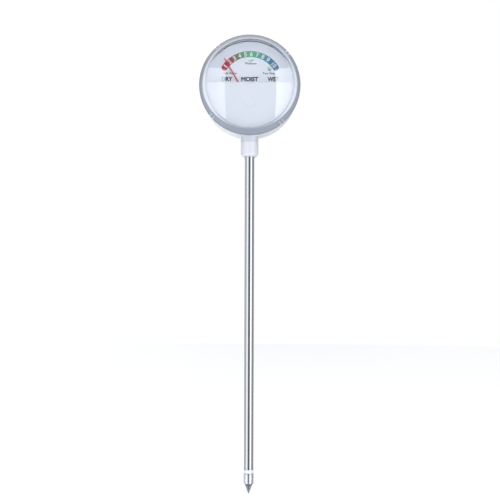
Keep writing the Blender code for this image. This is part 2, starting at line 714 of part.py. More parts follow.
def make_dial(white, steel, head):
    """The dial plate, its screws and the pointer stops."""
    flat = math.asin(DIAL_FLAT_Z / DIAL_RADIUS)
    outline = arc((0.0, 0.0), DIAL_RADIUS, flat, math.pi - flat, LARGE_STEPS - 12)
    plate = bmesh.new()
    add_prism(plate, outline, DIAL_FRONT_Y, DIAL_BACK_Y)
    dial = make_object("dial_plate", plate, white, head)

    front = DIAL_FRONT_Y - THROUGH
    back = DIAL_BACK_Y + THROUGH
    holes = bmesh.new()
    low = -PIVOT_DROP - OPENING_BELOW
    high = OPENING_ABOVE - PIVOT_DROP
    add_prism(holes, rounded_box(OPENING_HALF_WIDTH, low, high, OPENING_CORNER), front, back)
    clearance = 0.4 * MM
    stop_turn = POINTER_TRAVEL + math.asin((STOP_RADIUS + 0.55 * MM) / STOP_DISTANCE) + math.radians(0.4)
    stop_place = (STOP_DISTANCE * math.sin(stop_turn), STOP_DISTANCE * math.cos(stop_turn) - PIVOT_DROP)
    for side in (-1.0, 1.0):
        x, z = on_head(DIAL_SCREW_DISTANCE, DIAL_SCREW_ANGLE)
        add_rod(holes, "Y", 0.95 * MM, front, back, centre=(side * x, z))
        x, z = on_head(DIAL_SCREW_DISTANCE, PEG_ANGLE)
        add_rod(holes, "Y", PEG_RADIUS + 0.2 * MM, front, back, centre=(side * x, z))
        x, z = stop_place
        add_rod(holes, "Y", STOP_RADIUS + 0.05 * MM, front, back, centre=(side * x, z), steps=10)
    carve(dial, "holes", holes)

    for side, word in ((-1.0, "left"), (1.0, "right")):
        x, z = on_head(DIAL_SCREW_DISTANCE, DIAL_SCREW_ANGLE)
        seat = DIAL_FRONT_Y - FIT_GAP
        head_size = (DIAL_SCREW_HEAD, seat, seat - 1.0 * MM)
        shank = (0.7 * MM, DIAL_BACK_Y + 5.6 * MM)
        make_screw(f"dial_screw_{word}", (side * x, z), head_size, shank, steel, head, side * 0.6)
        stop = bmesh.new()
        thin = STOP_RADIUS - 0.05 * MM
        outline = [
            (0.0, POINTER_BACK_Y - 1.7 * MM),
            (STOP_RADIUS, POINTER_BACK_Y - 1.7 * MM),
            (STOP_RADIUS, seat - 0.25 * MM),
            (STOP_RADIUS + clearance, seat - 0.25 * MM),
            (STOP_RADIUS + clearance, seat),
            (thin, seat),
            (thin, DIAL_BACK_Y + clearance),
            (0.0, DIAL_BACK_Y + clearance),
        ]
        add_turned(stop, outline, "Y", 10, centre=(side * stop_place[0], stop_place[1]))
        make_object(f"pointer_stop_{word}", stop, steel, head)


def make_cover(white, head):
    """The half-disc over the movement, standing off the dial on two pegs."""
    edge = COVER_RISE - PIVOT_DROP
    start = math.asin(edge / COVER_RADIUS)
    inner = COVER_RADIUS - COVER_WALL
    skirt_y = COVER_SKIRT_Y
    plate = bmesh.new()
    outline = arc((0.0, 0.0), COVER_RADIUS, start, -math.pi - start, 40)
    add_prism(plate, outline, COVER_FRONT_Y, skirt_y)
    cover = make_object("movement_cover", plate, white, head)
    pocket = bmesh.new()
    top = edge + THROUGH
    start = math.asin(top / inner)
    outline = arc((0.0, 0.0), inner, start, -math.pi - start, 40)
    add_prism(pocket, outline, COVER_FRONT_Y + COVER_WALL, skirt_y + THROUGH)
    carve(cover, "pocket", pocket)
    pegs = bmesh.new()
    inside = COVER_FRONT_Y + COVER_WALL / 2.0
    shoulder = DIAL_FRONT_Y - SEAT_GAP
    peg_end = DIAL_BACK_Y + 0.7 * MM
    x, z = on_head(DIAL_SCREW_DISTANCE, PEG_ANGLE)
    for side in (-1.0, 1.0):
        outline = [(0.0, inside), (PEG_RADIUS + 0.6 * MM, inside), (PEG_RADIUS + 0.6 * MM, shoulder)]
        outline += [(PEG_RADIUS, shoulder), (PEG_RADIUS, peg_end), (0.0, peg_end)]
        add_turned(pegs, outline, "Y", SMALL_STEPS, centre=(side * x, z))
    add_rod(pegs, "Y", COVER_BOSS_RADIUS, COVER_FRONT_Y - 0.5 * MM, inside, (0.0, -PIVOT_DROP), MEDIUM_STEPS)
    weld(cover, "pegs", pegs)


def make_frame(black, steel, movement):
    """The moulded plate that carries the movement, and the four screws that hold it."""
    plate = bmesh.new()
    outline = rounded_box(FRAME_HALF_WIDTH, -FRAME_HALF_HEIGHT, FRAME_HALF_HEIGHT, FRAME_CORNER)
    add_prism(plate, outline, FRAME_FRONT_Y, FRAME_BACK_Y)
    frame = make_object("movement_frame", plate, black, movement)
    middle = (FRAME_FRONT_Y + FRAME_BACK_Y) / 2.0
    added = bmesh.new()
    rim = YOKE_OUTER + FIT_GAP
    rim_front = FRAME_FRONT_Y - 1.4 * MM
    outline = [(rim, rim_front), (RIM_OUTER, rim_front), (RIM_OUTER, middle), (rim, middle)]
    add_turned(added, outline, "Y", LARGE_STEPS // 2)
    for side in (-1.0, 1.0):
        add_rod(added, "Y", 1.9 * MM, middle, REAR_BRIDGE_Y - SEAT_GAP, centre=(side * PILLAR_X, 0.0))
    weld(frame, "rim_and_posts", added)
    holes = bmesh.new()
    back = FRAME_BACK_Y + THROUGH
    add_rod(holes, "Y", YOKE_INNER + 0.2 * MM, FRAME_FRONT_Y - THROUGH, back, steps=MEDIUM_STEPS)
    for side in (-1.0, 1.0):
        place = (side * PILLAR_X, 0.0)
        add_rod(holes, "Y", 0.9 * MM, FRAME_FRONT_Y - THROUGH, FRAME_FRONT_Y + 1.1 * MM, centre=place)
        add_rod(holes, "Y", 0.8 * MM, FRAME_BACK_Y + 0.3 * MM, REAR_BRIDGE_Y, centre=place)
        for z in (-FRAME_SCREW_Z, FRAME_SCREW_Z):
            add_rod(holes, "Y", 0.95 * MM, FRAME_FRONT_Y - THROUGH, back, centre=(side * FRAME_SCREW_X, z))
    carve(frame, "holes", holes)

    number = 0
    for x in (-FRAME_SCREW_X, FRAME_SCREW_X):
        for z in (-FRAME_SCREW_Z, FRAME_SCREW_Z):
            number += 1
            seat = FRAME_FRONT_Y - FIT_GAP
            head_size = (FRAME_SCREW_HEAD, seat, seat - 1.1 * MM)
            shank = (0.7 * MM, FRAME_BACK_Y + 5.6 * MM)
            make_screw(f"frame_screw_{number}", (x, z), head_size, shank, steel, movement, 0.5 * number)


def make_magnet(iron, magnet, black, movement):
    """The fixed magnetic circuit: core, yoke and the two spacers between them."""
    core = bmesh.new()
    add_rod(core, "Y", CORE_RADIUS, CORE_FRONT_Y, CORE_BACK_Y, steps=MEDIUM_STEPS)
    make_object("core_magnet", core, magnet, movement)
    yoke = bmesh.new()
    outline = [(YOKE_INNER, CORE_FRONT_Y), (YOKE_OUTER, CORE_FRONT_Y)]
    outline += [(YOKE_OUTER, CORE_BACK_Y), (YOKE_INNER, CORE_BACK_Y)]
    add_turned(yoke, outline, "Y", LARGE_STEPS // 2)
    make_object("yoke_ring", yoke, iron, movement)
    spread = math.radians(26.0)
    for middle, word in ((math.pi, "left"), (0.0, "right")):
        outline = arc((0.0, 0.0), YOKE_INNER - 0.15 * MM, middle - spread, middle + spread, 8)
        outline += arc((0.0, 0.0), CORE_RADIUS + 0.1 * MM, middle + spread, middle - spread, 8)
        spacer = bmesh.new()
        add_prism(spacer, outline, CORE_FRONT_Y + 0.2 * MM, CORE_BACK_Y - 0.2 * MM)
        make_object(f"core_spacer_{word}", spacer, black, movement)


def make_bridges(brass, steel, ruby, movement):
    """The front and rear bridges, their pillars and screws, and the jewel bearings."""
    bridge_back = FRONT_BRIDGE_Y + BRIDGE_THICKNESS
    plate = bmesh.new()
    add_prism(plate, outline_of_bridge(), FRONT_BRIDGE_Y, bridge_back)
    front = make_object("front_bridge", plate, brass, movement)
    boss_end = bridge_back + 0.8 * MM
    boss = bmesh.new()
    add_rod(boss, "Y", 1.6 * MM, bridge_back - BRIDGE_THICKNESS / 2.0, boss_end)
    weld(front, "boss", boss)
    holes = bmesh.new()
    add_rod(holes, "Y", 1.2 * MM, FRONT_BRIDGE_Y - THROUGH, boss_end + THROUGH)
    for side in (-1.0, 1.0):
        start = FRONT_BRIDGE_Y - THROUGH
        add_rod(holes, "Y", 0.7 * MM, start, bridge_back + THROUGH, centre=(side * PILLAR_X, 0.0))
    carve(front, "holes", holes)

    for side, word in ((-1.0, "left"), (1.0, "right")):
        shoulder = FRAME_FRONT_Y - FIT_GAP
        if side < 0.0:
            shoulder -= TAG_THICKNESS + FIT_GAP
        start = bridge_back + FIT_GAP
        bottom = start + 4.0 * MM
        outline = [
            (0.62 * MM, start),
            (PILLAR_RADIUS, start),
            (PILLAR_RADIUS, shoulder),
            (0.8 * MM, shoulder),
            (0.8 * MM, FRAME_FRONT_Y + 0.9 * MM),
            (0.0, FRAME_FRONT_Y + 0.9 * MM),
            (0.0, bottom),
            (0.62 * MM, bottom),
        ]
        ordered = outline[6:] + outline[:6]
        pillar = bmesh.new()
        add_turned(pillar, ordered, "Y", SMALL_STEPS, centre=(side * PILLAR_X, 0.0))
        make_object(f"front_pillar_{word}", pillar, brass, movement)
        seat = FRONT_BRIDGE_Y - FIT_GAP
        place = (side * PILLAR_X, 0.0)
        head_size = (PILLAR_RADIUS, seat, seat - 0.6 * MM)
        shank = (0.5 * MM, bottom - 0.7 * MM)
        make_screw(f"front_bridge_screw_{word}", place, head_size, shank, steel, movement, side * 0.7)
        seat = REAR_BRIDGE_BACK_Y + FIT_GAP
        if side > 0.0:
            seat += TAG_THICKNESS + FIT_GAP
        head_size = (PILLAR_RADIUS + 0.2 * MM, seat, seat + 0.9 * MM)
        shank = (0.6 * MM, FRAME_BACK_Y + 0.7 * MM)
        make_screw(f"rear_bridge_screw_{word}", place, head_size, shank, steel, movement, side * 0.4, -1.0)

    plate = bmesh.new()
    add_prism(plate, outline_of_bridge(), REAR_BRIDGE_Y, REAR_BRIDGE_BACK_Y)
    rear = make_object("rear_bridge", plate, brass, movement)
    tab = bmesh.new()
    tab_start = SPRING_OUTER + 0.25 * MM
    low = (tab_start, SPRING_REAR_Y, -0.6 * MM)
    add_box(tab, low, (tab_start + 0.5 * MM, REAR_BRIDGE_Y + BRIDGE_THICKNESS / 2.0, 0.6 * MM))
    weld(rear, "spring_tab", tab)
    holes = bmesh.new()
    start = REAR_BRIDGE_Y - THROUGH
    end = REAR_BRIDGE_BACK_Y + THROUGH
    add_rod(holes, "Y", 1.2 * MM, start, end)
    for side in (-1.0, 1.0):
        add_rod(holes, "Y", 0.7 * MM, start, end, centre=(side * PILLAR_X, 0.0))
    carve(rear, "holes", holes)

    front_end = boss_end - FIT_GAP
    make_jewel_screw("front_jewel_screw", front_end, FRONT_BRIDGE_Y - FIT_GAP, -1.0, brass, movement)
    make_jewel("front_jewel", front_end - 0.2 * MM, -1.0, ruby, movement)
    rear_end = REAR_BRIDGE_Y - 0.25 * MM
    make_jewel_screw("rear_jewel_screw", rear_end, REAR_BRIDGE_BACK_Y + FIT_GAP, 1.0, brass, movement)
    make_jewel("rear_jewel", rear_end + 0.2 * MM, 1.0, ruby, movement)
    return front_end - 0.2 * MM, rear_end + 0.2 * MM


def outline_of_bridge():
    return rounded_box(BRIDGE_HALF_LENGTH, -BRIDGE_HALF_WIDTH, BRIDGE_HALF_WIDTH, BRIDGE_HALF_WIDTH * 0.9)


def make_zero_lever(brass, zero_axis):
    """The lever that turns on the front bridge's boss and holds the front hairspring's outer end."""
    bridge_back = FRONT_BRIDGE_Y + BRIDGE_THICKNESS
    front = bridge_back + 0.15 * MM
    back = front + 0.5 * MM
    inset = 0.02 * MM
    ring = bmesh.new()
    outline = [(1.75 * MM, front), (2.7 * MM, front), (2.7 * MM, back), (1.75 * MM, back)]
    add_turned(ring, outline, "Y", MEDIUM_STEPS)
    lever = make_object("zero_lever", ring, brass, zero_axis)
    arms = bmesh.new()
    add_box(arms, (-0.6 * MM, front + inset, -7.5 * MM), (0.6 * MM, back - inset, -2.2 * MM))
    weld(lever, "handle", arms)
    reach = bmesh.new()
    tab_start = SPRING_OUTER + 0.25 * MM
    tab_end = tab_start + 0.5 * MM
    add_box(reach, (2.2 * MM, front + inset, -0.5 * MM), (tab_end - inset, back - inset, 0.5 * MM))
    weld(lever, "arm", reach)
    tab = bmesh.new()
    tab_back = SPRING_FRONT_Y + SPRING_HEIGHT
    add_box(tab, (tab_start, front + 2 * inset, -0.6 * MM), (tab_end, tab_back, 0.6 * MM))
    weld(lever, "spring_tab", tab)


def make_moving_coil(aluminium, copper, steel, red, spring_metal, cups, turning):
    """All that turns with the pointer, modelled with the pointer straight up."""
    centre_y = (CORE_FRONT_Y + CORE_BACK_Y) / 2.0
    half_length = CORE_LENGTH / 2.0 + COIL_CLEARANCE
    half_height = CORE_RADIUS + COIL_CLEARANCE
    flange = FORMER_WALL + FLANGE_HEIGHT
    cheek = 0.3 * MM
    side = COIL_HALF_WIDTH
    former = bmesh.new()
    profile = [(0.0, -side), (flange, -side), (flange, cheek - side), (FORMER_WALL, cheek - side)]
    profile += [(across_out, -across) for across_out, across in reversed(profile)]
    add_loop(former, profile, centre_y, half_length, half_height)
    make_object("coil_former", former, aluminium, turning)
    winding = bmesh.new()
    low = FORMER_WALL + 0.05 * MM
    high = flange - 0.05 * MM
    wide = side - cheek - 0.05 * MM
    profile = [(low, -wide), (high, -wide), (high, wide), (low, wide)]
    add_loop(winding, profile, centre_y, half_length, half_height)
    make_object("coil_winding", winding, copper, turning)

    front_cup, rear_cup = cups
    hub_end = SPRING_FRONT_Y - 0.15 * MM
    make_pivot("front_pivot", FRONT_BASE_Y, hub_end, front_cup, front_cup - 0.35 * MM, -1.0, steel, turning)
    hub_end = SPRING_REAR_Y + SPRING_HEIGHT + 0.7 * MM
    make_pivot("rear_pivot", REAR_BASE_Y, hub_end, rear_cup, rear_cup + 0.35 * MM, 1.0, steel, turning)

    tip_reach = DIAL_RADIUS - POINTER_EDGE_MARGIN
    sideways = PIVOT_DROP * math.sin(POINTER_TRAVEL)
    length = PIVOT_DROP * math.cos(POINTER_TRAVEL) + math.sqrt(tip_reach**2 - sideways**2)
    front = POINTER_BACK_Y - POINTER_THICKNESS
    eye = HUB_RADIUS + 0.1 * MM
    needle = bmesh.new()
    add_turned(
        needle, [(eye, front), (1.9 * MM, front), (1.9 * MM, POINTER_BACK_Y), (eye, POINTER_BACK_Y)],
        "Y", SMALL_STEPS,
    )
    pointer = make_object("pointer", needle, red, turning)
    blade = bmesh.new()
    inset = 0.02 * MM
    root = 1.5 * MM
    outline = [(-POINTER_ROOT, root), (POINTER_ROOT, root), (POINTER_TIP, length), (-POINTER_TIP, length)]
    add_prism(blade, outline, front + inset, POINTER_BACK_Y - inset)
    weld(pointer, "blade", blade)

    cross_front = POINTER_BACK_Y + 0.1 * MM
    cross_back = cross_front + 0.3 * MM
    ring = bmesh.new()
    add_turned(
        ring, [(eye, cross_front), (1.9 * MM, cross_front), (1.9 * MM, cross_back), (eye, cross_back)],
        "Y", SMALL_STEPS,
    )
    cross = make_object("balance_cross", ring, aluminium, turning)
    arms = bmesh.new()
    thin = 0.3 * MM
    for turn in (0.5 * math.pi, math.pi, 1.5 * math.pi):
        low = (-thin, cross_front + inset, root)
        add_box(arms, low, (thin, cross_back - inset, ARM_LENGTH), clock(turn))
    weld(cross, "arms", arms)
    make_weight("balance_weight_right", 0.5 * math.pi, spring_metal, turning)
    make_weight("balance_weight_tail", math.pi, spring_metal, turning)
    make_weight("balance_weight_left", 1.5 * math.pi, spring_metal, turning)

    anchor = 0.5 * math.pi - POINTER_REST
    make_hairspring("front_hairspring", SPRING_FRONT_Y, anchor, spring_metal, turning)
    make_hairspring("rear_hairspring", SPRING_REAR_Y, anchor, spring_metal, turning)


def make_wiring(brass, tan, red, black, stem_wire_start, movement):
    """The solder tags, the calibration resistor and the two leads."""
    tag = bmesh.new()
    back = FRAME_FRONT_Y - FIT_GAP
    front = back - TAG_THICKNESS
    inset = 0.02 * MM
    outline = [(0.95 * MM, front), (TAG_RING_RADIUS, front), (TAG_RING_RADIUS, back), (0.95 * MM, back)]
    add_turned(tag, outline, "Y", SMALL_STEPS, centre=(-PILLAR_X, 0.0))
    tag = make_object("front_solder_tag", tag, brass, movement)
    tail = bmesh.new()
    low = (-PILLAR_X - 4.6 * MM, front + inset, -0.9 * MM)
    add_box(tail, low, (-PILLAR_X - 1.1 * MM, back - inset, 0.9 * MM))
    weld(tag, "tail", tail)

    tag = bmesh.new()
    front = REAR_BRIDGE_BACK_Y + FIT_GAP
    back = front + TAG_THICKNESS
    outline = [(0.75 * MM, front), (1.7 * MM, front), (1.7 * MM, back), (0.75 * MM, back)]
    add_turned(tag, outline, "Y", SMALL_STEPS, centre=(PILLAR_X, 0.0))
    tag = make_object("rear_solder_tag", tag, brass, movement)
    tail = bmesh.new()
    turn = Matrix.Translation((PILLAR_X, 0.0, 0.0)) @ clock(math.radians(-137.0))
    add_box(tail, (-0.8 * MM, front + inset, 1.2 * MM), (0.8 * MM, back - inset, 5.2 * MM), turn)
    weld(tag, "tail", tail)

    resistor_x = -PILLAR_X - 3.4 * MM
    resistor_y = FRAME_FRONT_Y - 1.2 * MM
    lead = 0.25 * MM
    outline = [
        (0.0, -9.6 * MM), (lead, -9.6 * MM), (lead, -8.2 * MM), (0.8 * MM, -8.2 * MM), (1.1 * MM, -7.7 * MM),
        (1.1 * MM, -4.5 * MM), (0.8 * MM, -4.0 * MM), (lead, -4.0 * MM), (lead, 0.5 * MM), (0.0, 0.5 * MM),
    ]
    resistor = bmesh.new()
    add_turned(resistor, outline, "Z", SMALL_STEPS, centre=(resistor_x, resistor_y))
    make_object("calibration_resistor", resistor, tan, movement)

    wire_radius = 0.6 * MM
    straight_end = TUBE_TOP - 4.0 * MM
    rear_y = REAR_BRIDGE_BACK_Y + 1.7 * MM
    bend = [
        (0.0, 0.0, straight_end),
        (0.0, 0.0, TUBE_TOP - 1.2 * MM),
        (0.0, 0.4 * MM, TUBE_TOP + 1.2 * MM),
        (0.0, 2.0 * MM, TUBE_TOP + 2.2 * MM),
        (0.0, 5.0 * MM, TUBE_TOP + 2.4 * MM),
        (0.0, 8.5 * MM, TUBE_TOP + 2.5 * MM),
        (0.3 * MM, 11.7 * MM, TUBE_TOP + 3.6 * MM),
        (1.4 * MM, rear_y - 0.3 * MM, PIVOT_Z - 8.4 * MM),
        (4.0 * MM, rear_y, PIVOT_Z - 5.6 * MM),
        (7.0 * MM, rear_y - 0.1 * MM, PIVOT_Z - 4.2 * MM),
        (9.0 * MM, rear_y - 0.35 * MM, PIVOT_Z - 3.7 * MM),
    ]
    route = [Vector((0.0, 0.0, stem_wire_start))] + smooth_route(bend, 3)
    make_wire("tip_lead", route, wire_radius, red)
    bend = [
        (-TUBE_RADIUS - 3.0 * MM, 0.0, TUBE_TOP + 0.1 * MM),
        (-TUBE_RADIUS - 4.2 * MM, 1.0 * MM, TUBE_TOP + 1.0 * MM),
        (-10.2 * MM, 3.0 * MM, TUBE_TOP + 1.7 * MM),
        (-13.4 * MM, 4.8 * MM, TUBE_TOP + 2.4 * MM),
        (resistor_x + 0.4 * MM, resistor_y, PIVOT_Z - 11.6 * MM),
        (resistor_x, resistor_y, PIVOT_Z - 10.3 * MM),
    ]
    make_wire("tube_lead", smooth_route(bend, 3), wire_radius, black)


def build():
    for old in list(bpy.data.objects):
        bpy.data.objects.remove(old, do_unlink=True)
    white = make_paint("white_plastic", (0.80, 0.82, 0.86), 0.35)
    dial_white = make_paint("dial_card", (0.86, 0.88, 0.92), 0.5)
    black = make_paint("black_plastic", (0.03, 0.03, 0.03), 0.5)
    clear = make_paint("clear_plastic", (0.90, 0.93, 0.97), 0.05, alpha=0.35)
    steel = make_paint("stainless_steel", (0.62, 0.63, 0.65), 0.2, 1.0)
    tip_metal = make_paint("tip_metal", (0.45, 0.47, 0.52), 0.35, 1.0)
    screw_steel = make_paint("plated_steel", (0.55, 0.55, 0.55), 0.3, 1.0)
    brass = make_paint("brass", (0.70, 0.52, 0.22), 0.3, 1.0)
    aluminium = make_paint("aluminium", (0.75, 0.76, 0.77), 0.35, 1.0)
    copper = make_paint("enamelled_copper", (0.55, 0.22, 0.10), 0.35, 0.7)
    bronze = make_paint("spring_bronze", (0.60, 0.42, 0.20), 0.3, 1.0)
    iron = make_paint("soft_iron", (0.35, 0.35, 0.36), 0.5, 1.0)
    magnet = make_paint("magnet", (0.20, 0.20, 0.21), 0.4, 1.0)
    ruby = make_paint("ruby", (0.55, 0.02, 0.08), 0.1)
    red = make_paint("pointer_red", (0.65, 0.05, 0.08), 0.4)
    tan = make_paint("resistor_tan", (0.62, 0.48, 0.30), 0.5)
    red_wire = make_paint("red_insulation", (0.50, 0.03, 0.03), 0.5)
    black_wire = make_paint("black_insulation", (0.02, 0.02, 0.02), 0.5)

    head = make_axis("head_axis", HEAD_Z)
    movement = make_axis("movement_axis", PIVOT_Z)
    turning = make_axis("pointer_axis", PIVOT_Z, POINTER_REST)
    zero_axis = make_axis("zero_axis", PIVOT_Z)

    stem_wire_start = make_probe(steel, tip_metal, white)
    make_neck(white, brass, screw_steel)
    make_case(white, head)
    make_lens(clear, head)
    make_dial(dial_white, screw_steel, head)
    make_cover(white, head)
    make_frame(black, screw_steel, movement)
    make_magnet(iron, magnet, black, movement)
    cups = make_bridges(brass, screw_steel, ruby, movement)
    make_zero_lever(brass, zero_axis)
    make_moving_coil(aluminium, copper, screw_steel, red, bronze, cups, turning)
    make_wiring(brass, tan, red_wire, black_wire, stem_wire_start, movement)


build()
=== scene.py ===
"""A soil moisture meter: a clear-fronted dial head on a steel tube with an insulated tip.

The pieces follow in the order in which the meter is put together, from the tube up to the lens.
The head faces -Y, the tube runs down along Z, and the point of the tip is the origin.
"""

import math

import bpy
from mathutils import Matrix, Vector
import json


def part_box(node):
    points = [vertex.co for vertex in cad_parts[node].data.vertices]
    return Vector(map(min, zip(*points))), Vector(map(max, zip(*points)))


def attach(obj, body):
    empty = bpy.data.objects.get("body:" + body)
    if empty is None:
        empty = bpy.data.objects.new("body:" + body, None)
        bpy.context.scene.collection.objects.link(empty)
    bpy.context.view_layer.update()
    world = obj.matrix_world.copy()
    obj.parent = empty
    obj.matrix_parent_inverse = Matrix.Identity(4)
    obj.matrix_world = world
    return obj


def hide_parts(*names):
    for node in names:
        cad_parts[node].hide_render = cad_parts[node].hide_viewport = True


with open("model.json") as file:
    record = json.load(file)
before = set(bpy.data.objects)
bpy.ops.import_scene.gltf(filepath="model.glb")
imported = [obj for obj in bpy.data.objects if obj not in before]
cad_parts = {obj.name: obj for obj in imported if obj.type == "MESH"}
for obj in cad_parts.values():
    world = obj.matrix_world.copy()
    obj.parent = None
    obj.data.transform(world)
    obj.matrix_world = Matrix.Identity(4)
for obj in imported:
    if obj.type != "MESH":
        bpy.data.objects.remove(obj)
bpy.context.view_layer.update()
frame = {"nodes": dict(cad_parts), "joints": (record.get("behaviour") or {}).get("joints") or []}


# ---------------------------------------------------------------- probe tube
# The long tube is seamless stainless steel, drawn to size, cut square and polished.
# It is the meter's outer electrode; its lower end sits on the white ring and its upper end
# goes through the collar into the head.
MM = 0.001
QUARTER = math.pi / 2.0
FIT = 0.1 * MM  # clearance between pieces that slide together
MERGE_UNDER = 0.002 * MM  # points closer than this are one point
tube_low, tube_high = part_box("outer_tube")
TUBE_RADIUS = tube_high.x
TUBE_WALL = 0.5 * MM
TUBE_EDGE = 0.08 * MM
TUBE_STEPS = 64
STEEL = (0.47, 0.478, 0.50)
RELIEF_DEPTH = 0.1 * MM
SCRATCH_DULLING = 0.15


def turned(name, stations, along, steps, centre=(0.0, 0.0, 0.0)):
    """Pull a circle through stations of (radius, position) along an axis and close the shape."""
    axis = "XYZ".index(along)
    solid = stations[0][0] == 0.0
    radius, position = stations[1] if solid else stations[0]
    place = Vector(centre)
    place[axis] += position
    bpy.ops.object.select_all(action="DESELECT")
    lie = (QUARTER, 0.0, 0.0) if along == "Y" else (0.0, 0.0, 0.0)
    bpy.ops.mesh.primitive_circle_add(vertices=steps, radius=radius, location=place, rotation=lie)
    piece = bpy.context.object
    piece.name = piece.data.name = name
    bpy.ops.object.transform_apply(location=True, rotation=True, scale=True)
    bpy.ops.object.mode_set(mode="EDIT")
    bpy.ops.mesh.select_all(action="SELECT")
    path = list(stations[2:]) if solid else [*stations[1:], stations[0]]
    for new_radius, new_position in path:
        shift = [0.0, 0.0, 0.0]
        shift[axis] = new_position - position
        place[axis] += shift[axis]
        bpy.ops.mesh.extrude_edges_move(TRANSFORM_OT_translate={"value": shift})
        if new_radius == 0.0:
            bpy.ops.mesh.merge(type="CENTER")
            break
        grow = [new_radius / radius] * 3
        grow[axis] = 1.0
        bpy.ops.transform.resize(value=grow, center_override=place)
        radius, position = new_radius, new_position
    if solid:
        bpy.ops.mesh.select_all(action="DESELECT")
        bpy.ops.mesh.select_non_manifold()
        drop = [0.0, 0.0, 0.0]
        drop[axis] = stations[0][1] - stations[1][1]
        bpy.ops.mesh.extrude_edges_move(TRANSFORM_OT_translate={"value": drop})
        bpy.ops.mesh.merge(type="CENTER")
    bpy.ops.mesh.select_all(action="SELECT")
    bpy.ops.mesh.remove_doubles(threshold=MERGE_UNDER)
    bpy.ops.mesh.normals_make_consistent(inside=False)
    bpy.ops.object.mode_set(mode="OBJECT")
    return piece


def soften(piece, width, segments=2, round_over=35.0, smooth_under=32.0):
    """Round a piece's sharp edges a little, shade its round faces smooth and keep flats flat."""
    bpy.ops.object.select_all(action="DESELECT")
    piece.select_set(True)
    bpy.context.view_layer.objects.active = piece
    if width:
        edge = piece.modifiers.new("edge", "BEVEL")
        edge.limit_method = "ANGLE"
        edge.angle_limit = math.radians(round_over)
        edge.width = width
        edge.segments = segments
        bpy.ops.object.modifier_apply(modifier=edge.name)
    bpy.ops.object.shade_smooth_by_angle(angle=math.radians(smooth_under))
    level = piece.modifiers.new("level", "WEIGHTED_NORMAL")
    level.keep_sharp = True
    level.weight = 100
    bpy.ops.object.modifier_apply(modifier=level.name)


def make_group(name, inputs, outputs):
    """A node group with named sockets; returns the group with its ends."""
    group = bpy.data.node_groups.new(name, "ShaderNodeTree")
    for label, kind, value in inputs:
        socket = group.interface.new_socket(name=label, in_out="INPUT", socket_type=kind)
        if value is not None:
            socket.default_value = value
    for label, kind in outputs:
        group.interface.new_socket(name=label, in_out="OUTPUT", socket_type=kind)
    return group, group.nodes.new("NodeGroupInput"), group.nodes.new("NodeGroupOutput")


def wire(tree, start, start_socket, end, end_socket):
    """Join one node's output to another's input."""
    tree.links.new(start.outputs[start_socket], end.inputs[end_socket])


def maths(tree, operation, first, second=None, third=None, clamp=False):
    """A Math node's result; each value is a number or a (node, socket) pair."""
    node = tree.nodes.new("ShaderNodeMath")
    node.operation = operation
    node.use_clamp = clamp
    for place, value in enumerate((first, second, third)):
        if isinstance(value, tuple):
            wire(tree, *value, node, place)
        elif value is not None:
            node.inputs[place].default_value = value
    return (node, 0)


def make_variation():
    """Slow drift of tone and gloss over a surface, with its fine grain as a height."""
    group, start, end = make_group(
        "surface_variation",
        [("Vector", "NodeSocketVector", None), ("Colour", "NodeSocketColor", (0.8, 0.8, 0.8, 1.0)),
         ("Shade", "NodeSocketFloat", 0.1), ("Patch Scale", "NodeSocketFloat", 120.0),
         ("Grain Scale", "NodeSocketFloat", 3000.0), ("Roughness", "NodeSocketFloat", 0.4),
         ("Roughness Drift", "NodeSocketFloat", 0.1)],
        [("Colour", "NodeSocketColor"), ("Roughness", "NodeSocketFloat"),
         ("Height", "NodeSocketFloat")],
    )
    patch = group.nodes.new("ShaderNodeTexNoise")
    patch.inputs["Detail"].default_value = 4.0
    wire(group, start, "Vector", patch, "Vector")
    wire(group, start, "Patch Scale", patch, "Scale")
    grain = group.nodes.new("ShaderNodeTexNoise")
    grain.inputs["Detail"].default_value = 2.0
    wire(group, start, "Vector", grain, "Vector")
    wire(group, start, "Grain Scale", grain, "Scale")
    centred = maths(group, "SUBTRACT", (patch, "Fac"), 0.5)
    tone = maths(group, "MULTIPLY_ADD", centred, (start, "Shade"), 1.0)
    scaled = group.nodes.new("ShaderNodeVectorMath")
    scaled.operation = "SCALE"
    wire(group, start, "Colour", scaled, 0)
    wire(group, *tone, scaled, "Scale")
    wire(group, scaled, 0, end, "Colour")
    blended = maths(group, "ADD", (patch, "Fac"), (grain, "Fac"))
    drift = maths(group, "SUBTRACT", blended, 1.0)
    gloss = maths(group, "MULTIPLY_ADD", drift, (start, "Roughness Drift"), (start, "Roughness"), True)
    wire(group, *gloss, end, "Roughness")
    wire(group, grain, "Fac", end, "Height")
    return group


def make_hairlines():
    """Sparse hairline scratches: thin bright lines where a stretched noise crosses its middle."""
    group, start, end = make_group(
        "hairlines",
        [("Vector", "NodeSocketVector", None), ("Scale", "NodeSocketFloat", 400.0),
         ("Fineness", "NodeSocketFloat", 30.0)],
        [("Mask", "NodeSocketFloat")],
    )
    field = group.nodes.new("ShaderNodeTexNoise")
    field.inputs["Detail"].default_value = 1.0
    wire(group, start, "Vector", field, "Vector")
    wire(group, start, "Scale", field, "Scale")
    offset = maths(group, "SUBTRACT", (field, "Fac"), 0.5)
    ridge = maths(group, "ABSOLUTE", offset)
    narrow = maths(group, "MULTIPLY", ridge, (start, "Fineness"))
    line = maths(group, "SUBTRACT", 1.0, narrow, clamp=True)
    wire(group, *line, end, "Mask")
    return group


surface_variation = make_variation()
hairlines = make_hairlines()


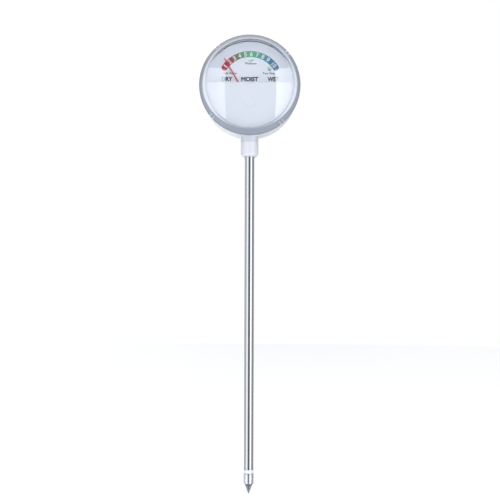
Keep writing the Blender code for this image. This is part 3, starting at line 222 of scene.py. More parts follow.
def make_finish(
    name, colour, roughness, metallic=0.0, shade=0.08, patch=120.0, grain=3000.0,
    drift=0.08, bump=0.02, stretch=(1.0, 1.0, 1.0), scratches=0.0,
):
    """A Principled material whose tone, gloss and relief come from the shared surface groups."""
    paint = bpy.data.materials.new(name)
    paint.use_nodes = True
    tree = paint.node_tree
    shader = tree.nodes["Principled BSDF"]
    shader.inputs["Metallic"].default_value = metallic
    place = tree.nodes.new("ShaderNodeTexCoord")
    mapping = tree.nodes.new("ShaderNodeMapping")
    mapping.inputs["Scale"].default_value = stretch
    wire(tree, place, "Object", mapping, "Vector")
    surface = tree.nodes.new("ShaderNodeGroup")
    surface.name = "surface"
    surface.node_tree = surface_variation
    surface.inputs["Colour"].default_value = (*colour, 1.0)
    surface.inputs["Shade"].default_value = shade
    surface.inputs["Patch Scale"].default_value = patch
    surface.inputs["Grain Scale"].default_value = grain
    surface.inputs["Roughness"].default_value = roughness
    surface.inputs["Roughness Drift"].default_value = drift
    wire(tree, mapping, 0, surface, "Vector")
    wire(tree, surface, "Colour", shader, "Base Color")
    wire(tree, surface, "Roughness", shader, "Roughness")
    relief = tree.nodes.new("ShaderNodeBump")
    relief.name = "relief"
    relief.inputs["Strength"].default_value = bump
    relief.inputs["Distance"].default_value = RELIEF_DEPTH
    height = (surface, "Height")
    if scratches:
        lines = tree.nodes.new("ShaderNodeGroup")
        lines.node_tree = hairlines
        wire(tree, mapping, 0, lines, "Vector")
        height = maths(tree, "MULTIPLY_ADD", (lines, "Mask"), -scratches, height)
        dulled = SCRATCH_DULLING * scratches
        rough = maths(tree, "MULTIPLY_ADD", (lines, "Mask"), dulled, (surface, "Roughness"))
        wire(tree, *rough, shader, "Roughness")
    wire(tree, *height, relief, "Height")
    wire(tree, relief, 0, shader, "Normal")
    return paint


def fit_out(piece, body, slot, paint, *nodes):
    """Give a finished piece its material and its body, and hide the CAD solids it stands for. The slot is
    not used.
    """
    piece.data.materials.clear()
    piece.data.materials.append(paint)
    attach(piece, body)
    if nodes:
        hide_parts(*nodes)


tube_stations = [(TUBE_RADIUS - TUBE_WALL, tube_low.z), (TUBE_RADIUS, tube_low.z)]
tube_stations += [(TUBE_RADIUS, share * tube_high.z) for share in (0.25, 0.5, 0.75, 1.0)]
tube_stations += [(TUBE_RADIUS - TUBE_WALL, tube_high.z)]
probe_tube = turned("probe_tube", tube_stations, "Z", TUBE_STEPS)
soften(probe_tube, TUBE_EDGE)
polished_steel = make_finish(
    "polished_steel", STEEL, 0.10, metallic=1.0, shade=0.05, patch=60.0, grain=900.0,
    drift=0.05, bump=0.015, stretch=(1.0, 1.0, 0.04), scratches=0.4,
)
fit_out(probe_tube, "housing", "stainless_steel", polished_steel, "outer_tube")


# ---------------------------------------------------------------- white ring
# A turned ring of white plastic keeps the tip apart from the tube. Its spigot is pressed
# into the tube, and the tip's stem runs through it.
ring_low, ring_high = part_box("insulator_ring")
RING_WIDTH = 2.1 * MM
STEM_HOLE = 1.35 * MM
SPIGOT = TUBE_RADIUS - TUBE_WALL - FIT
RING_EDGE = 0.12 * MM
WHITE = (0.80, 0.825, 0.88)


def moulded_white(name, colour, roughness=0.32):
    """The finish of a white moulding: even, half glossy, with a very fine grain."""
    return make_finish(
        name, colour, roughness, shade=0.03, patch=90.0, grain=5200.0, drift=0.06, bump=0.03,
    )


white_ring = turned(
    "white_ring",
    [
        (STEM_HOLE, ring_low.z),
        (ring_high.x, ring_low.z),
        (ring_high.x, ring_low.z + RING_WIDTH),
        (SPIGOT, ring_low.z + RING_WIDTH),
        (SPIGOT, ring_high.z),
        (STEM_HOLE, ring_high.z),
    ],
    "Z", TUBE_STEPS,
)
soften(white_ring, RING_EDGE)
white_plastic = moulded_white("white_plastic", WHITE)
fit_out(white_ring, "housing", "white_plastic", white_plastic, "insulator_ring")


# ---------------------------------------------------------------- tip
# The tip is the inner electrode: a solid grey metal bullet, turned and left with fine tool
# lines, with a long stem that carries its lead up inside the tube.
_, tip_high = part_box("tip_electrode")
TIP_RADIUS = tip_high.x
TIP_LENGTH = ring_low.z - FIT
TIP_EDGE = 0.05 * MM
# the rounded point: radii and heights in mm
POINT_ROUNDING = ((0.2, 0.04), (0.33, 0.18), (0.42, 0.45))
CONE_LENGTH = 5.0 * MM
CONE_RADIUS = 2.2 * MM
SHOULDER_LENGTH = 2.3 * MM
SHOULDER_STEPS = 8
LINE_BELOW_TOP = 0.6 * MM
LINE_DEPTH = 0.12 * MM
STEM_RADIUS = STEM_HOLE - FIT
TIP_GREY = (0.62, 0.65, 0.72)

tip_stations = [(0.0, 0.0)]
tip_stations += [(radius * MM, height * MM) for radius, height in POINT_ROUNDING]
tip_stations += [(CONE_RADIUS, CONE_LENGTH)]
for step in range(1, SHOULDER_STEPS + 1):
    share = step / SHOULDER_STEPS
    radius = CONE_RADIUS + (TIP_RADIUS - CONE_RADIUS) * math.sin(share * QUARTER)
    tip_stations.append((radius, CONE_LENGTH + SHOULDER_LENGTH * share))
line_middle = TIP_LENGTH - LINE_BELOW_TOP
tip_stations += [
    (TIP_RADIUS, line_middle - 0.3 * MM),
    (TIP_RADIUS - LINE_DEPTH, line_middle - 0.15 * MM),
    (TIP_RADIUS - LINE_DEPTH, line_middle + 0.15 * MM),
    (TIP_RADIUS, line_middle + 0.3 * MM),
    (TIP_RADIUS, TIP_LENGTH),
    (STEM_RADIUS, TIP_LENGTH),
    (STEM_RADIUS, tip_high.z),
    (0.0, tip_high.z),
]
metal_tip = turned("metal_tip", tip_stations, "Z", TUBE_STEPS)
soften(metal_tip, TIP_EDGE)
turned_metal = make_finish(
    "turned_metal", TIP_GREY, 0.27, metallic=1.0, shade=0.12, patch=200.0, grain=2500.0,
    drift=0.10, bump=0.10, stretch=(0.05, 0.05, 1.0),
)
fit_out(metal_tip, "housing", "tip_metal", turned_metal, "tip_electrode")


# ---------------------------------------------------------------- ferrule and leads in the tube
# A turned ferrule is crimped on the tip's stem. The red lead runs from it up the tube to the
# meter, and the black lead comes from the ring that grips the tube's upper end.
def refinish(names, paint):
    """Put a finish on CAD solids, which keep their shape."""
    for name in names:
        frame["nodes"][name].material_slots[0].material = paint


RED_SLEEVE = (0.52, 0.03, 0.035)
BLACK_SLEEVE = (0.022, 0.022, 0.025)

refinish(["stem_ferrule"], turned_metal)
red_sleeve = make_finish(
    "red_sleeve", RED_SLEEVE, 0.45, shade=0.15, patch=300.0, grain=4000.0, bump=0.05,
)
refinish(["tip_lead"], red_sleeve)
black_sleeve = make_finish(
    "black_sleeve", BLACK_SLEEVE, 0.50, shade=0.25, patch=300.0, grain=4000.0, bump=0.05,
)
refinish(["tube_lead"], black_sleeve)


# ---------------------------------------------------------------- collar
# The collar is a short moulded white sleeve with a rounded lower end. It slides on the tube
# and plugs into the neck of the case, where it leaves a thin parting line. Its white is painted
# darker than the case's: painted shade under the head.
collar_low, collar_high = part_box("neck_collar")
NECK_RADIUS = collar_high.x
COLLAR_LENGTH = 9.52 * MM
COLLAR_FILLET = 2.2 * MM
COLLAR_FILLET_STEPS = 8
COLLAR_EDGE = 0.1 * MM
COLLAR_SPIGOT = 4.2 * MM
COLLAR_BORE = TUBE_RADIUS + FIT
NECK_STEPS = 96
# a darker copy of the case's white: painted shade under the head
COLLAR_SHADED_WHITE = (0.64, 0.66, 0.71)

collar_stations = [(COLLAR_BORE, collar_low.z)]
for step in range(COLLAR_FILLET_STEPS + 1):
    angle = QUARTER * step / COLLAR_FILLET_STEPS
    radius = NECK_RADIUS - COLLAR_FILLET + COLLAR_FILLET * math.sin(angle)
    collar_stations.append((radius, collar_low.z + COLLAR_FILLET * (1.0 - math.cos(angle))))
collar_stations += [
    (NECK_RADIUS, collar_low.z + COLLAR_LENGTH),
    (COLLAR_SPIGOT, collar_low.z + COLLAR_LENGTH),
    (COLLAR_SPIGOT, collar_high.z),
    (COLLAR_BORE, collar_high.z),
]
tube_collar = turned("tube_collar", collar_stations, "Z", NECK_STEPS)
soften(tube_collar, COLLAR_EDGE)
collar_shaded_white = moulded_white("collar_shaded_white", COLLAR_SHADED_WHITE, 0.34)
fit_out(tube_collar, "housing", "white_plastic", collar_shaded_white, "neck_collar")


# ---------------------------------------------------------------- case
# The case is a deep drum moulded in white plastic, with a rounded back edge, a snap groove
# inside its mouth, a neck for the collar, and posts for the movement and the dial.
case_low, case_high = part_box("rear_case")
lens_low, lens_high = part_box("front_lens")
CASE_RADIUS = case_high.x
HEAD_Z = case_high.z - CASE_RADIUS
CASE_WALL = 1.8 * MM
CASE_FILLET = 4.0 * MM
CASE_FILLET_STEPS = 10
INNER_FILLET_STEPS = 6
CASE_EDGE = 0.12 * MM
BACK_RADIUS = CASE_RADIUS - 0.5 * MM
MOUTH_RADIUS = CASE_RADIUS - CASE_WALL
MOUTH_Y = case_low.y
BACK_Y = case_high.y
GROOVE_RADIUS = MOUTH_RADIUS + 0.8 * MM
GROOVE_BACK = -4.8 * MM
GROOVE_FRONT = -6.5 * MM
PANEL_RADIUS = 22.0 * MM
PANEL_Y = BACK_Y - 0.25 * MM
GATE_RADIUS = 2.2 * MM
GATE_Y = BACK_Y - 0.45 * MM
NECK_BOTTOM = case_low.z
NECK_TOP = 228.0 * MM
POST_END = BACK_Y - 1.0 * MM
FRAME_POST_RADIUS = 2.6 * MM
FRAME_POST_TOP = 9.1 * MM
DIAL_POST_RADIUS = 2.0 * MM
DIAL_POST_TOP = -2.3 * MM
PAST = 1.0 * MM  # how far a cutting shape stands out of what it cuts
POST_STEPS = 24
HEAD_STEPS = 160
HEAD_CENTRE = (0.0, 0.0, HEAD_Z)
# the grey that the neck is painted below the drum: painted shade under the head
NECK_PAINTED_SHADE = (0.53, 0.55, 0.60)
SHADE_BLEND = 1.0 * MM


def place_on(paint):
    """The point on a finished piece, split into X, Y and Z."""
    place = paint.node_tree.nodes.new("ShaderNodeSeparateXYZ")
    wire(paint.node_tree, paint.node_tree.nodes["Texture Coordinate"], "Object", place, 0)
    return place


def blend_colours(tree, amount, first, second):
    """Mix two colours, each a colour or a (node, socket) pair, by a mask."""
    mix = tree.nodes.new("ShaderNodeMix")
    mix.data_type = "RGBA"
    wire(tree, *amount, mix, 0)
    for place, colour in ((6, first), (7, second)):
        if len(colour) == 2:
            wire(tree, *colour, mix, place)
        else:
            mix.inputs[place].default_value = (*colour, 1.0)
    return (mix, 2)


def ramp_up(tree, value, start, end):
    """A mask that rises smoothly from 0 at one value to 1 at another."""
    rise = tree.nodes.new("ShaderNodeMapRange")
    rise.interpolation_type = "SMOOTHSTEP"
    wire(tree, *value, rise, "Value")
    rise.inputs["From Min"].default_value = start
    rise.inputs["From Max"].default_value = end
    return (rise, "Result")


def rod(name, radius, start, end, along, steps, centre=(0.0, 0.0, 0.0)):
    """A plain round rod from one position to another along an axis."""
    return turned(name, [(0.0, start), (radius, start), (radius, end), (0.0, end)], along, steps, centre)


def middle_of(node):
    """The middle of a CAD solid."""
    low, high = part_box(node)
    return (low + high) / 2.0


def cut_or_join(piece, tool, operation):
    """Cut a shape out of a piece, or join it on, and use the shape up."""
    bpy.ops.object.select_all(action="DESELECT")
    piece.select_set(True)
    bpy.context.view_layer.objects.active = piece
    fitting = piece.modifiers.new("fitting", "BOOLEAN")
    fitting.operation = operation
    fitting.solver = "EXACT"
    fitting.object = tool
    bpy.ops.object.modifier_apply(modifier=fitting.name)
    bpy.data.objects.remove(tool)


def rounded_corner(radius, position, size, start, end, steps):
    """Stations round a corner whose centre is at (radius, position)."""
    stations = []
    for step in range(steps + 1):
        angle = start + (end - start) * step / steps
        stations.append((radius + size * math.cos(angle), position + size * math.sin(angle)))
    return stations


corner = (BACK_RADIUS - CASE_FILLET, BACK_Y - CASE_FILLET)
case_stations = [(0.0, BACK_Y - CASE_WALL)]
case_stations += rounded_corner(*corner, CASE_FILLET - CASE_WALL, QUARTER, 0.0, INNER_FILLET_STEPS)
case_stations += [
    (MOUTH_RADIUS - 0.13 * MM, GROOVE_BACK),
    (GROOVE_RADIUS, GROOVE_BACK),
    (GROOVE_RADIUS, GROOVE_FRONT),
    (MOUTH_RADIUS - 0.07 * MM, GROOVE_FRONT),
    (MOUTH_RADIUS, MOUTH_Y),
    (CASE_RADIUS, MOUTH_Y),
]
case_stations += rounded_corner(*corner, CASE_FILLET, 0.0, QUARTER, CASE_FILLET_STEPS)
case_stations += [
    (PANEL_RADIUS, BACK_Y),
    (PANEL_RADIUS - 0.3 * MM, PANEL_Y),
    (GATE_RADIUS, PANEL_Y),
    (GATE_RADIUS - 0.2 * MM, GATE_Y),
    (GATE_RADIUS - 1.0 * MM, GATE_Y),
    (0.0, GATE_Y + 0.05 * MM),
]
meter_case = turned("meter_case", case_stations, "Y", HEAD_STEPS, HEAD_CENTRE)

neck = rod("neck", NECK_RADIUS, NECK_BOTTOM, NECK_TOP, "Z", NECK_STEPS)
cut_or_join(meter_case, neck, "UNION")
posts = [(f"frame_screw_{number}", FRAME_POST_RADIUS, FRAME_POST_TOP) for number in range(1, 5)]
posts += [(f"dial_screw_{side}", DIAL_POST_RADIUS, DIAL_POST_TOP) for side in ("left", "right")]
for screw, radius, top in posts:
    place = middle_of(screw)
    post = rod("post", radius, top, POST_END, "Y", POST_STEPS, (place.x, 0.0, place.z))
    cut_or_join(meter_case, post, "UNION")
bore_stations = [
    (0.0, NECK_BOTTOM - PAST),
    (COLLAR_SPIGOT + 2.0 * FIT, NECK_BOTTOM - PAST),
    (COLLAR_SPIGOT + 2.0 * FIT, collar_high.z + 3.0 * FIT),
    (COLLAR_BORE, collar_high.z + 3.0 * FIT),
    (COLLAR_BORE, NECK_TOP + PAST),
    (0.0, NECK_TOP + PAST),
]
cut_or_join(meter_case, turned("bore", bore_stations, "Z", TUBE_STEPS), "DIFFERENCE")
soften(meter_case, CASE_EDGE)
case_white = moulded_white("case_white", WHITE)
case_tree = case_white.node_tree
# Below the drum the case is painted a darker grey: painted shade under the head.
drum_bottom = HEAD_Z - CASE_RADIUS
height = (place_on(case_white), "Z")
on_drum = ramp_up(case_tree, height, drum_bottom - SHADE_BLEND, drum_bottom + SHADE_BLEND)
case_colour_with_shade = blend_colours(case_tree, on_drum, NECK_PAINTED_SHADE, WHITE)
wire(case_tree, *case_colour_with_shade, case_tree.nodes["surface"], "Colour")
fit_out(meter_case, "housing", "white_plastic", case_white, "rear_case")


# ---------------------------------------------------------------- what holds the tube
# Above the neck, a spring-steel star clip grips the tube, a brass ring carries the black lead,
# and a white bush closes the tube round the red lead.
PLATED = (0.56, 0.56, 0.57)
BRASS = (0.72, 0.53, 0.23)

plated_steel = make_finish(
    "plated_steel", PLATED, 0.28, metallic=1.0, shade=0.12, patch=400.0, grain=6000.0, bump=0.06,
    scratches=0.3,
)
brass = make_finish(
    "brass", BRASS, 0.26, metallic=1.0, shade=0.18, patch=350.0, grain=5000.0, bump=0.06, scratches=0.3,
)
refinish(["tube_clip"], plated_steel)
refinish(["contact_ring"], brass)
refinish(["wire_bush"], white_plastic)


# ---------------------------------------------------------------- movement frame and magnet
# The movement is built on a black moulded frame, held by four screws. Inside a soft-iron yoke
# ring, a ground magnet core stands between two black spacers.
BLACK = (0.028, 0.028, 0.030)
IRON = (0.33, 0.33, 0.34)
MAGNET = (0.19, 0.19, 0.20)

black_plastic = make_finish(
    "black_plastic", BLACK, 0.42, shade=0.2, patch=250.0, grain=5200.0, bump=0.08,
)
soft_iron = make_finish(
    "soft_iron", IRON, 0.38, metallic=1.0, shade=0.2, patch=300.0, grain=2500.0, bump=0.12,
    stretch=(1.0, 0.06, 1.0),
)
ground_magnet = make_finish(
    "ground_magnet", MAGNET, 0.45, metallic=0.8, shade=0.25, patch=500.0, grain=7000.0, bump=0.10,
)
refinish(["movement_frame", "core_spacer_left", "core_spacer_right"], black_plastic)
refinish(["frame_screw_1", "frame_screw_2", "frame_screw_3", "frame_screw_4"], plated_steel)
refinish(["yoke_ring"], soft_iron)
refinish(["core_magnet"], ground_magnet)


# ---------------------------------------------------------------- bridges and bearings
# Two stamped brass bridges stand on pillars in front of and behind the core. A threaded jewel
# screw in each carries the ruby cup in which the coil's pivot turns.
RUBY = (0.55, 0.02, 0.08)

refinish(["front_bridge", "rear_bridge", "front_jewel_screw", "rear_jewel_screw"], brass)
refinish(["front_pillar_left", "front_pillar_right"], brass)
refinish(["front_solder_tag", "rear_solder_tag"], brass)
refinish(["front_bridge_screw_left", "front_bridge_screw_right"], plated_steel)
refinish(["rear_bridge_screw_left", "rear_bridge_screw_right"], plated_steel)
ruby = make_finish(
    "ruby", RUBY, 0.08, shade=0.12, patch=900.0, grain=9000.0, drift=0.03, bump=0.01,
)
refinish(["front_jewel", "rear_jewel"], ruby)


# ---------------------------------------------------------------- moving coil
# Enamelled copper wire is wound on a folded aluminium former that swings round the core.
# Steel pivots are cemented to it, and bronze hairsprings bring the coil back and feed it.
COPPER = (0.56, 0.22, 0.09)
ALUMINIUM = (0.77, 0.78, 0.79)
BRONZE = (0.62, 0.43, 0.20)
WIRE_PITCH = 0.09 * MM
WAVE_PITCH = 0.314

enamelled_copper = make_finish(
    "enamelled_copper", COPPER, 0.25, metallic=0.6, shade=0.2, patch=600.0, grain=8000.0, bump=0.05,
)
winding_tree = enamelled_copper.node_tree
turns = winding_tree.nodes.new("ShaderNodeTexWave")
turns.wave_type = "BANDS"
turns.bands_direction = "X"
turns.inputs["Scale"].default_value = WAVE_PITCH / WIRE_PITCH
turns.inputs["Distortion"].default_value = 0.3
wire(winding_tree, winding_tree.nodes["Mapping"], 0, turns, "Vector")
wire(winding_tree, turns, "Fac", winding_tree.nodes["relief"], "Height")
winding_tree.nodes["relief"].inputs["Strength"].default_value = 0.6
aluminium = make_finish(
    "aluminium", ALUMINIUM, 0.30, metallic=1.0, shade=0.08, patch=300.0, grain=4500.0, bump=0.05,
    scratches=0.3,
)
spring_bronze = make_finish(
    "spring_bronze", BRONZE, 0.24, metallic=1.0, shade=0.12, patch=600.0, grain=8000.0, bump=0.04,
)
refinish(["coil_winding"], enamelled_copper)
refinish(["coil_former", "balance_cross"], aluminium)
refinish(["front_pivot", "rear_pivot"], plated_steel)
refinish(["front_hairspring", "rear_hairspring"], spring_bronze)
refinish(["balance_weight_left", "balance_weight_right", "balance_weight_tail"], spring_bronze)


# ---------------------------------------------------------------- resistor and zero lever
# A small film resistor on the back sets the full reading; its tan body carries colour bands.
# The brass zero lever holds the outer end of the front hairspring.
resistor_low, resistor_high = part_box("calibration_resistor")
RESISTOR_TAN = (0.62, 0.47, 0.29)
COLOUR_BAND = 0.22 * MM
BANDS = (
    (0.18, (0.35, 0.16, 0.05)),
    (0.36, (0.02, 0.02, 0.02)),
    (0.54, (0.75, 0.08, 0.03)),
    (0.80, (0.62, 0.45, 0.12)),
)

banded_lacquer = make_finish(
    "banded_lacquer", RESISTOR_TAN, 0.3, shade=0.06, patch=500.0, grain=6000.0, bump=0.04,
)
lacquer_tree = banded_lacquer.node_tree
lacquer_place = place_on(banded_lacquer)
colour = (lacquer_tree.nodes["surface"], "Colour")
for share, band_colour in BANDS:
    middle = resistor_low.x + (resistor_high.x - resistor_low.x) * share
    off_middle = maths(lacquer_tree, "SUBTRACT", (lacquer_place, "X"), middle)
    from_middle = maths(lacquer_tree, "ABSOLUTE", off_middle)
    inside = maths(lacquer_tree, "LESS_THAN", from_middle, COLOUR_BAND)
    colour = blend_colours(lacquer_tree, inside, colour, band_colour)
wire(lacquer_tree, *colour, lacquer_tree.nodes["Principled BSDF"], "Base Color")
refinish(["calibration_resistor"], banded_lacquer)
refinish(["zero_lever"], brass)


# ---------------------------------------------------------------- dial plate
# The dial is a stiff white plate, stamped out with a window for the movement and printed on
# its front. Two screws hold it, and two pegs of the cover pass through it.
dial_low, dial_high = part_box("dial_plate")
DIAL_FRONT = dial_low.y
DIAL_BACK = dial_high.y
DIAL_RADIUS = dial_high.x
DIAL_FLAT = dial_low.z
DIAL_EDGE = 0.06 * MM
PIVOT_Z = frame["joints"][0]["pos_m"][2]
WINDOW_HALF_WIDTH = 14.9 * MM
WINDOW_BOTTOM = PIVOT_Z - 9.5 * MM
WINDOW_TOP = PIVOT_Z + 8.6 * MM
WINDOW_CORNER = 6.0 * MM
CORNER_STEPS = 10
SCREW_HOLE = 0.95 * MM
STOP_HOLE = 0.6 * MM
HOLE_STEPS = 32
CARD = (0.865, 0.89, 0.94)

dial_plate = rod("dial", DIAL_RADIUS, DIAL_BACK, DIAL_FRONT, "Y", HEAD_STEPS, HEAD_CENTRE)
bpy.ops.object.mode_set(mode="EDIT")
bpy.ops.mesh.select_all(action="SELECT")
bpy.ops.mesh.bisect(
    plane_co=(0.0, 0.0, DIAL_FLAT), plane_no=(0.0, 0.0, -1.0), use_fill=True, clear_outer=True,
)
bpy.ops.object.mode_set(mode="OBJECT")


def rounded_block(name, low, high, corner_radius):
    """A block with its four edges along Y rounded, from a cube scaled in place."""
    bpy.ops.object.select_all(action="DESELECT")
    middle = (Vector(low) + Vector(high)) / 2.0
    bpy.ops.mesh.primitive_cube_add(size=1.0, location=middle)
    block = bpy.context.object
    block.name = block.data.name = name
    block.scale = Vector(high) - Vector(low)
    bpy.ops.object.transform_apply(location=True, rotation=True, scale=True)
    bpy.ops.object.mode_set(mode="EDIT")
    bpy.ops.mesh.select_all(action="DESELECT")
    bpy.ops.object.mode_set(mode="OBJECT")
    for edge in block.data.edges:
        first, second = (block.data.vertices[i].co for i in edge.vertices)
        edge.select = abs(first.y - second.y) > MERGE_UNDER
    bpy.ops.object.mode_set(mode="EDIT")
    bpy.ops.mesh.select_mode(type="EDGE")
    bpy.ops.mesh.bevel(offset=corner_radius, segments=CORNER_STEPS, affect="EDGES")
    bpy.ops.object.mode_set(mode="OBJECT")
    return block


window = rounded_block(
    "window",
    (-WINDOW_HALF_WIDTH, DIAL_FRONT - PAST, WINDOW_BOTTOM),
    (WINDOW_HALF_WIDTH, DIAL_BACK + PAST, WINDOW_TOP),
    WINDOW_CORNER,
)
cut_or_join(dial_plate, window, "DIFFERENCE")
for fastener, radius in (
    ("dial_screw_left", SCREW_HOLE), ("dial_screw_right", SCREW_HOLE),
    ("pointer_stop_left", STOP_HOLE), ("pointer_stop_right", STOP_HOLE),
):
    place = middle_of(fastener)
    hole = rod(
        "hole", radius, DIAL_FRONT - PAST, DIAL_BACK + PAST, "Y", HOLE_STEPS, (place.x, 0.0, place.z),
    )
    cut_or_join(dial_plate, hole, "DIFFERENCE")
soften(dial_plate, DIAL_EDGE)
dial_card = make_finish(
    "dial_card", CARD, 0.55, shade=0.02, patch=70.0, grain=4500.0, drift=0.05, bump=0.03,
)
fit_out(dial_plate, "housing", "dial_card", dial_card, "dial_plate")
refinish(["dial_screw_left", "dial_screw_right"], plated_steel)
refinish(["pointer_stop_left", "pointer_stop_right"], plated_steel)


# ---------------------------------------------------------------- printed scale band
# The scale is a screen-printed band with round ends that runs from crimson over olive and
# green to blue. The ink lies on the card as a thin raised layer.
INK = 0.03 * MM
INK_GAP = 0.002 * MM
END_STEPS = 48
BAND_CENTRE = (0.2 * MM, 0.0, HEAD_Z + 1.45 * MM)
BAND_RADIUS = 19.3 * MM
BAND_HALF_WIDTH = 1.9 * MM
BAND_REACH = math.radians(56.5)
BAND_COLOURS = (
    (0.00, (0.500, 0.012, 0.050)),
    (0.16, (0.480, 0.020, 0.055)),
    (0.235, (0.250, 0.120, 0.075)),
    (0.30, (0.235, 0.225, 0.125)),
    (0.37, (0.150, 0.340, 0.175)),
    (0.50, (0.130, 0.460, 0.255)),
    (0.62, (0.105, 0.430, 0.300)),
    (0.73, (0.090, 0.330, 0.400)),
    (0.86, (0.065, 0.230, 0.400)),
    (1.00, (0.060, 0.175, 0.350)),
)

ink_back = DIAL_FRONT - INK_GAP
ink_front = ink_back - INK
band_stations = [
    (BAND_RADIUS - BAND_HALF_WIDTH, ink_back),
    (BAND_RADIUS + BAND_HALF_WIDTH, ink_back),
    (BAND_RADIUS + BAND_HALF_WIDTH, ink_front),
    (BAND_RADIUS - BAND_HALF_WIDTH, ink_front),
]
scale_band = turned("scale_band", band_stations, "Y", HEAD_STEPS, BAND_CENTRE)
bpy.ops.object.mode_set(mode="EDIT")
for side in (-1.0, 1.0):
    bpy.ops.mesh.select_all(action="SELECT")
    bpy.ops.mesh.bisect(
        plane_co=BAND_CENTRE, plane_no=(side * math.cos(BAND_REACH), 0.0, -math.sin(BAND_REACH)),
        use_fill=True, clear_outer=True,
    )
bpy.ops.object.mode_set(mode="OBJECT")
for side in (-1.0, 1.0):
    end = (
        BAND_CENTRE[0] + side * BAND_RADIUS * math.sin(BAND_REACH), 0.0,
        BAND_CENTRE[2] + BAND_RADIUS * math.cos(BAND_REACH),
    )
    band_end = rod("band_end", BAND_HALF_WIDTH, ink_back, ink_front, "Y", END_STEPS, end)
    cut_or_join(scale_band, band_end, "UNION")
soften(scale_band, 0.0)

scale_ink = make_finish(
    "scale_ink", CARD, 0.42, shade=0.04, patch=200.0, grain=6000.0, drift=0.05, bump=0.05,
)
ink_tree = scale_ink.node_tree
ink_place = place_on(scale_ink)
across = maths(ink_tree, "SUBTRACT", (ink_place, "X"), BAND_CENTRE[0])
up = maths(ink_tree, "SUBTRACT", (ink_place, "Z"), BAND_CENTRE[2])
angle = maths(ink_tree, "ARCTAN2", across, up)
reach = BAND_REACH + BAND_HALF_WIDTH / BAND_RADIUS
share = maths(ink_tree, "MULTIPLY_ADD", angle, 0.5 / reach, 0.5)
ramp = ink_tree.nodes.new("ShaderNodeValToRGB")
ramp.color_ramp.interpolation = "EASE"
for position, _ in BAND_COLOURS[1:-1]:
    ramp.color_ramp.elements.new(position)
for element, (position, ink_colour) in zip(ramp.color_ramp.elements, BAND_COLOURS):
    element.position = position
    element.color = (*ink_colour, 1.0)
wire(ink_tree, *share, ramp, 0)
wire(ink_tree, ramp, "Color", ink_tree.nodes["surface"], "Colour")
fit_out(scale_band, "housing", "dial_card", scale_ink)


# ---------------------------------------------------------------- printed numbers and words
# White numbers 1 to 10 stand on the band, and the words below it are printed in black:
# three large ones for the ranges and three small captions. Their outer ends are worn pale.
NUMBER_STEP = math.radians(11.1)
TOP_NUMBER = 5.8
TEN_SHIFT = math.radians(4.0)
NUMBER_HEIGHT = 2.75 * MM
NUMBER_WIDTH = 1.75 * MM
ONE_WIDTH = 0.85 * MM
TEN_WIDTH = 2.95 * MM
WORD_BOTTOM = HEAD_Z + 3.4 * MM
WORD_TOP = HEAD_Z + 6.3 * MM
# each word's left and right end, in mm from the middle
WORD_ENDS = (("DRY", -17.7, -10.9), ("MOIST", -5.4, 5.3), ("WET", 11.1, 18.3))
# each caption's middle, width and height over the head's centre, in mm
CAPTIONS = (("Moisture", 0.55, 7.0, 14.8), ("Add Water", -12.4, 8.8, 8.5), ("Too Wet", 11.8, 7.6, 8.5))
CAPTION_HEIGHT = 1.35 * MM
WORD_WEIGHT = 0.045
LIGHT_WEIGHT = 0.02
WORN_CENTRE = 0.4 * MM
WORN_FROM = 15.9 * MM
WORN_BLEND = 0.15 * MM
NUMBER_WHITE = (0.86, 0.90, 0.92)
INK_BLACK = (0.02, 0.022, 0.03)
INK_WORN = (0.50, 0.53, 0.58)


def printed(name, text, place, size, weight, turn=0.0):
    """A word or number of an exact width and height, laid on the card as a layer of ink."""
    bpy.ops.object.select_all(action="DESELECT")
    bpy.ops.object.text_add()
    word = bpy.context.object
    word.name = word.data.name = name
    word.data.body = text
    word.data.bevel_depth = weight
    word.data.bevel_resolution = 1
    word.data.extrude = 0.5
    word.data.resolution_u = 5
    bpy.ops.object.convert(target="MESH")
    word = bpy.context.object
    bpy.ops.object.origin_set(type="ORIGIN_GEOMETRY", center="BOUNDS")
    word.scale = (size[0] / word.dimensions.x, size[1] / word.dimensions.y, INK / word.dimensions.z)
    word.rotation_euler = (QUARTER, turn, 0.0)
    word.location = place
    bpy.ops.object.transform_apply(location=True, rotation=True, scale=True)
    bpy.ops.object.mode_set(mode="EDIT")
    bpy.ops.mesh.select_all(action="SELECT")
    bpy.ops.mesh.remove_doubles(threshold=MERGE_UNDER)
    bpy.ops.mesh.normals_make_consistent(inside=False)
    bpy.ops.object.mode_set(mode="OBJECT")
    return word


def gather(name, parts):
    """Join printed shapes into one piece."""
    bpy.ops.object.select_all(action="DESELECT")
    for part in parts:
        part.select_set(True)
    bpy.context.view_layer.objects.active = parts[0]
    bpy.ops.object.join()
    parts[0].name = parts[0].data.name = name
    return parts[0]


number_y = ink_front - INK / 2.0 - INK_GAP
number_widths = {1: ONE_WIDTH, 10: TEN_WIDTH}
numbers = []
for number in range(1, 11):
    turn = (number - TOP_NUMBER) * NUMBER_STEP + (TEN_SHIFT if number == 10 else 0.0)
    place = (
        BAND_CENTRE[0] + BAND_RADIUS * math.sin(turn), number_y,
        BAND_CENTRE[2] + BAND_RADIUS * math.cos(turn),
    )
    size = (number_widths.get(number, NUMBER_WIDTH), NUMBER_HEIGHT)
    numbers.append(printed(f"number_{number}", str(number), place, size, LIGHT_WEIGHT, turn))
scale_numbers = gather("scale_numbers", numbers)
white_ink = make_finish(
    "white_ink", NUMBER_WHITE, 0.45, shade=0.03, patch=200.0, grain=6000.0, bump=0.05,
)
fit_out(scale_numbers, "housing", "dial_card", white_ink)

